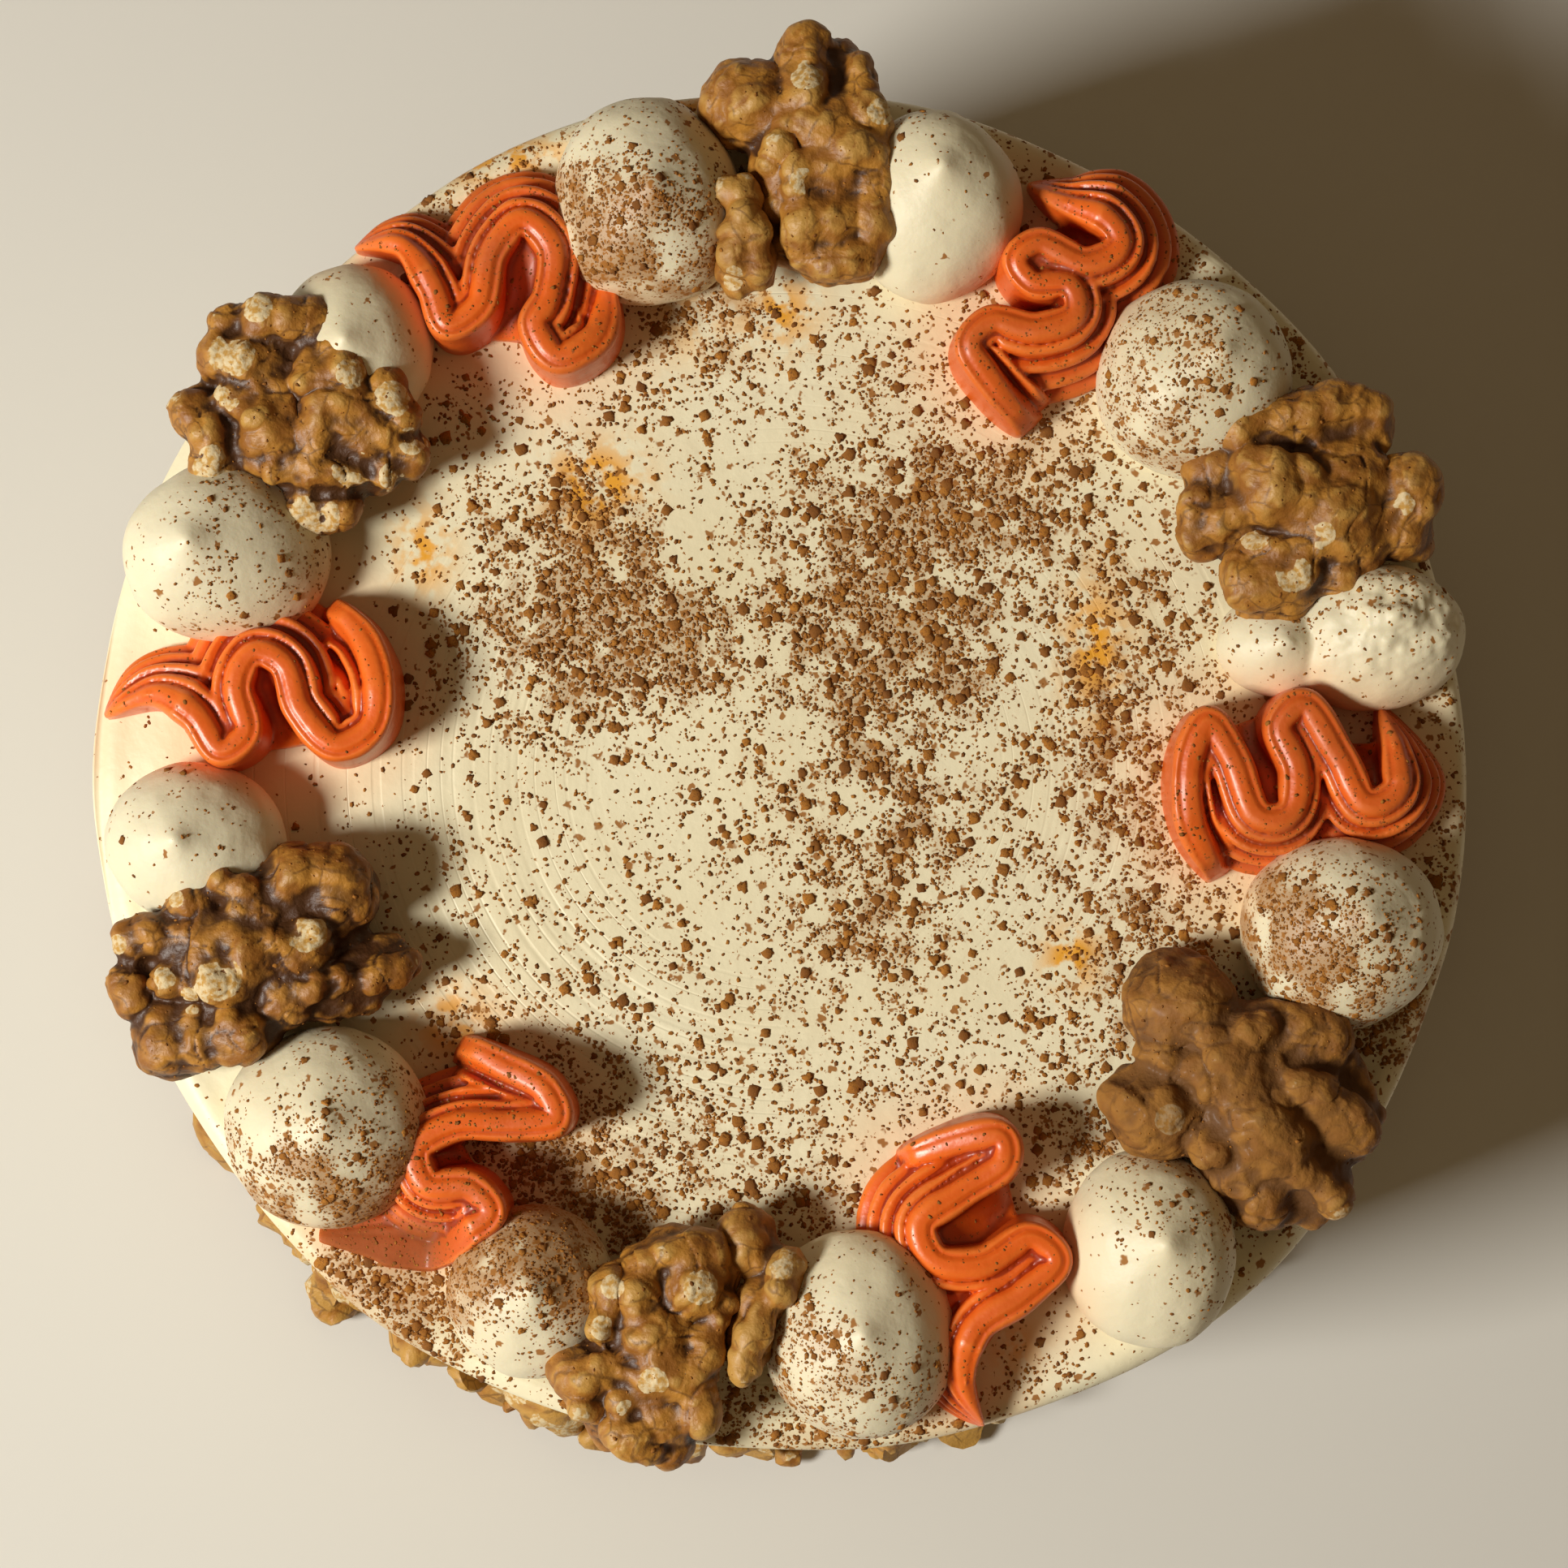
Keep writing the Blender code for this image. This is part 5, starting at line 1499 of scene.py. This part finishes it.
class CinnamonShake:
    """Loose cinnamon on the top and the toppings, as clumps and as fine grains."""

    EDGE = 0.8 * MM
    MOST = 0.85
    RAGS = ((0.8, 0.60, 0), (0.4, 0.50, 30))
    FLATNESS = (1.1, 0.85, 0.42)
    FINE_BELOW = 0.42 * MM
    STEEP = 0.25
    CLING = 1.3
    RUFFLE_CLING = 0.45
    NUT_CLING = 0.05
    ON_CREAM = 0.8
    ON_OTHERS = 0.55
    LOTS = (
        ("cinnamon_clumps", 5, 24000, (0.22 * MM, 0.70 * MM, 2.8)),
        ("cinnamon_crumbs_1", 6, 46000, (0.17 * MM, 0.38 * MM, 1.5)),
        ("cinnamon_crumbs_2", 7, 46000, (0.17 * MM, 0.38 * MM, 1.5)),
        ("cinnamon_grains", 8, 46000, (0.10 * MM, 0.20 * MM, 1.3)),
    )

    def __init__(
        self, top: TopMap, drum: bpy.types.Object, toppings: Sequence[bpy.types.Object]
    ) -> None:
        """Takes the top's map and the pieces that catch the grains."""
        self.top = top
        self.drum = self.tree(drum)
        self.toppings = [(self.reach(piece), self.tree(piece), piece.name) for piece in toppings]

    @staticmethod
    def tree(piece: bpy.types.Object) -> BVHTree:
        """The piece's faces, ready to be hit by a falling grain."""
        return BVHTree.FromObject(piece, bpy.context.evaluated_depsgraph_get())

    @staticmethod
    def reach(piece: bpy.types.Object) -> Tuple[float, float, float, float]:
        """The piece's least and greatest x and y."""
        corners = np.array([corner[:] for corner in piece.bound_box])
        low, high = corners.min(axis=0), corners.max(axis=0)
        return low[0], high[0], low[1], high[1]

    @classmethod
    def bit(cls, level: int, seed: int) -> Tuple[np.ndarray, np.ndarray]:
        """Models one ragged bit, a unit across.

        Args:
            level: How finely it is divided.
            seed: Which shape it takes.

        Returns:
            Its points and its triangles.
        """
        Bench.clear()
        bpy.ops.mesh.primitive_ico_sphere_add(subdivisions=level, radius=1.0)
        piece = bpy.context.object
        skin = Skin(piece)
        ragged = layered(skin.points, cls.RAGS, 1.0, seed)
        points = skin.points * np.maximum(ragged, 0.35)[:, None] * np.array(cls.FLATNESS)
        faces = np.array([tuple(face.vertices) for face in piece.data.polygons])
        bpy.data.objects.remove(piece)
        return points, faces

    def fall(self, x: float, y: float) -> Optional[Tuple[Vector, Vector, str]]:
        """Drops a grain at a place and finds what it lands on."""
        best: Optional[Tuple[Vector, Vector, str]] = None
        start = Vector((x, y, CAKE_HEIGHT + 0.1))
        for (low_x, high_x, low_y, high_y), tree, name in self.toppings:
            if low_x < x < high_x and low_y < y < high_y:
                spot, normal, _, _ = tree.ray_cast(start, Vector((0, 0, -1)))
                if spot and (best is None or spot.z > best[0].z):
                    best = (spot, normal, name)
        if best is None:
            spot, normal, _, _ = self.drum.ray_cast(start, Vector((0, 0, -1)))
            if spot:
                best = (spot, normal, "icing")
        return best

    def chance(self, name: str, thick: float, spot: Vector, way: Vector) -> float:
        """Finds how likely a grain stays where it lands.

        Args:
            name: The piece that it lands on.
            thick: How thickly the icing is dusted there.
            spot: Where it lands.
            way: The outward direction there.

        Returns:
            A chance, which may be over 1.
        """
        if name == "icing":
            return thick
        if name.startswith("cream_dollop"):
            spec = DollopRing.BULBS[int(name[-2:]) - 1]
            return self.CLING * float(DollopRing.dust(spec, np.array([spot]), np.array([way]))[0])
        if name.startswith("icing_ruffle"):
            return self.RUFFLE_CLING * RuffleRing.RUFFLES[int(name[-1]) - 1].dusting.value
        return self.NUT_CLING

    def scatter(
        self, name: str, seed: int, tries: int, sizes: Tuple[float, float, float]
    ) -> bpy.types.Object:
        """Shakes one lot of bits over the cake and joins them.

        Args:
            name: The new piece's name.
            seed: Which fall of bits it is.
            tries: How many bits are dropped.
            sizes: The least size, the greatest size and how rare great ones are.

        Returns:
            The joined bits.
        """
        draw = np.random.default_rng(seed)
        least, greatest, rare = sizes
        small = [self.bit(1, shape) for shape in range(4)]
        large = [self.bit(2, shape) for shape in range(4, 8)]
        spots = draw.uniform(-1.0, 1.0, (tries, 2)) * (CAKE_RADIUS - self.EDGE)
        luck = draw.random(tries) / self.MOST
        inside = (np.hypot(spots[:, 0], spots[:, 1]) < CAKE_RADIUS - self.EDGE) & (luck < 1.0)
        spots, luck = spots[inside], luck[inside]
        thick = self.top.dust(spots)
        near = np.zeros(len(spots), bool)
        x, y = spots.T
        for (low_x, high_x, low_y, high_y), _, _ in self.toppings:
            near |= (low_x < x) & (x < high_x) & (low_y < y) & (y < high_y)
        kept = near | (luck < thick)
        points, faces, tints, count = [], [], [], 0
        for (x, y), dense, chance in zip(spots[kept], thick[kept], luck[kept]):
            landed = self.fall(float(x), float(y))
            if landed is None or landed[1].z < self.STEEP:
                continue
            spot, way, catcher = landed
            if chance > self.chance(catcher, float(dense), spot, way):
                continue
            size = least + (greatest - least) * draw.random() ** rare
            if catcher != "icing":
                size *= self.ON_CREAM if catcher.startswith("cream") else self.ON_OTHERS
            corners, sides = (large if size > self.FINE_BELOW else small)[draw.integers(0, 4)]
            spun = Matrix.Rotation(draw.uniform(0.0, TURN), 3, "Z")
            lean = way.to_track_quat("Z", "Y").to_matrix() @ spun
            points.append((corners * size) @ np.array(lean).T + np.array(spot))
            faces.append(sides + count)
            tints.append(np.full(len(corners), draw.random()))
            count += len(corners)
        dusting = Bench.lay_out(name, points, np.concatenate(faces).tolist())
        Skin(dusting).paint("tint", np.concatenate(tints))
        LOG.info("%s: %d bits, %d triangles", name, len(faces), len(dusting.data.polygons))
        return dusting

    def build(self, material: bpy.types.Material) -> List[bpy.types.Object]:
        """Shakes the cinnamon over the cake."""
        made = []
        for name, seed, tries, sizes in self.LOTS:
            dusting = self.scatter(name, seed, tries, sizes)
            dusting.data.materials.append(material)
            Bench.smooth(dusting)
            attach(dusting, BODY)
            made.append(dusting)
        return made


class Studio:
    """The pale floor, the soft light and room, and the camera that looks down on the cake."""

    AIM = (0.0, -1.8 * MM, CAKE_HEIGHT)
    ELEVATION = 87.0
    DISTANCE = 500.0 * MM
    SEEN = 193.2 * MM
    ROOM: Colour = (0.130, 0.090, 0.048)
    FLOOR: Colour = (0.66, 0.64, 0.59)
    FLOOR_SIZE = 6.0
    KEY_PLACE = (-0.68, -0.25, 0.74)
    KEY_AIM = (0.0, 0.0, 0.06)
    KEY_SIZE = 0.24
    KEY_POWER = 11.5
    KEY_COLOUR: Colour = (1.0, 0.98, 0.92)
    SENSOR = 36.0

    def floor(self) -> None:
        """Lays a pale floor under the cake."""
        Bench.clear()
        bpy.ops.mesh.primitive_plane_add(size=self.FLOOR_SIZE, location=(0.0, 0.0, 0.0))
        floor = bpy.context.object
        floor.name = "floor"
        finish = bpy.data.materials.new("pale_floor")
        finish.use_nodes = True
        shader = finish.node_tree.nodes["Principled BSDF"]
        shader.inputs["Base Color"].default_value = (*self.FLOOR, 1.0)
        shader.inputs["Roughness"].default_value = 0.9
        floor.data.materials.append(finish)

    def light(self) -> None:
        """Hangs a soft square light that faces the cake."""
        Bench.clear()
        bpy.ops.object.light_add(type="AREA", location=self.KEY_PLACE)
        lamp = bpy.context.object
        lamp.name = "key"
        lamp.data.size = self.KEY_SIZE
        lamp.data.energy = self.KEY_POWER
        lamp.data.color = self.KEY_COLOUR
        way = Vector(self.KEY_AIM) - Vector(self.KEY_PLACE)
        lamp.rotation_euler = way.to_track_quat("-Z", "Y").to_euler()

    def camera(self) -> None:
        """Sets the camera above the cake, a little to its near side."""
        tilt = math.radians(self.ELEVATION)
        aim = Vector(self.AIM)
        place = aim + Vector((0.0, -math.cos(tilt), math.sin(tilt))) * self.DISTANCE
        Bench.clear()
        bpy.ops.object.camera_add(location=place)
        camera = bpy.context.object
        camera.rotation_euler = (aim - place).to_track_quat("-Z", "Y").to_euler()
        camera.data.sensor_width = self.SENSOR
        camera.data.lens = self.SENSOR * self.DISTANCE / self.SEEN
        camera.data.clip_start, camera.data.clip_end = 0.01, 20.0
        bpy.context.scene.camera = camera

    def build(self) -> None:
        """Sets up the whole studio."""
        self.floor()
        self.camera()
        self.light()
        world = bpy.data.worlds.new("soft_room")
        world.use_nodes = True
        world.node_tree.nodes["Background"].inputs[0].default_value = (*self.ROOM, 1.0)
        world.node_tree.nodes["Background"].inputs[1].default_value = 1.0
        bpy.context.scene.world = world
        bpy.context.scene.view_settings.view_transform = "Standard"


def report(name: str, piece: bpy.types.Object) -> None:
    """Logs one finished piece."""
    LOG.info("%s: %d faces", name, len(piece.data.polygons))


def main() -> None:
    """Builds the cake in order and logs each piece's faces."""
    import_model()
    effects = Effects()
    top = TopMap()
    ring = RuffleRing()
    routes = [ring.route(ruffle)[0] for ruffle in ring.RUFFLES]
    icing = IcingFinish("cream_icing", roughness=0.46, bump=0.35, turned=True).mix(effects)
    light, dark = (0.78, 0.715, 0.515), (0.73, 0.645, 0.43)
    piped = IcingFinish("piped_cream", 0.50, bump=0.5, light=light, dark=dark, haze=0.7, haze_from=2.0)
    cream = piped.mix(effects)
    kernel = NutFinish("walnut_skin", roughness=0.50, coat=0.04, bump=0.8).mix(effects)

    drum = IcedDrum(top, routes).build(icing)
    report("icing", drum)
    orange = RuffleFinish("orange_icing", roughness=0.34, coat=0.12, bump=0.45).mix(effects)
    ruffles = ring.build(orange)
    dollops = DollopRing().build(cream, routes)
    kernels = WalnutRing().build(kernel)
    for piece in (*ruffles, *dollops, *kernels):
        report(piece.name, piece)
    band = FootBand().build(kernel)
    report("chopped walnuts", band)
    shake = CinnamonShake(top, drum, (*dollops, *ruffles, *kernels))
    shake.build(CinnamonFinish("cinnamon", roughness=0.9, bump=0.5).mix(effects))
    Studio().build()


if __name__ == "__main__":
    main()
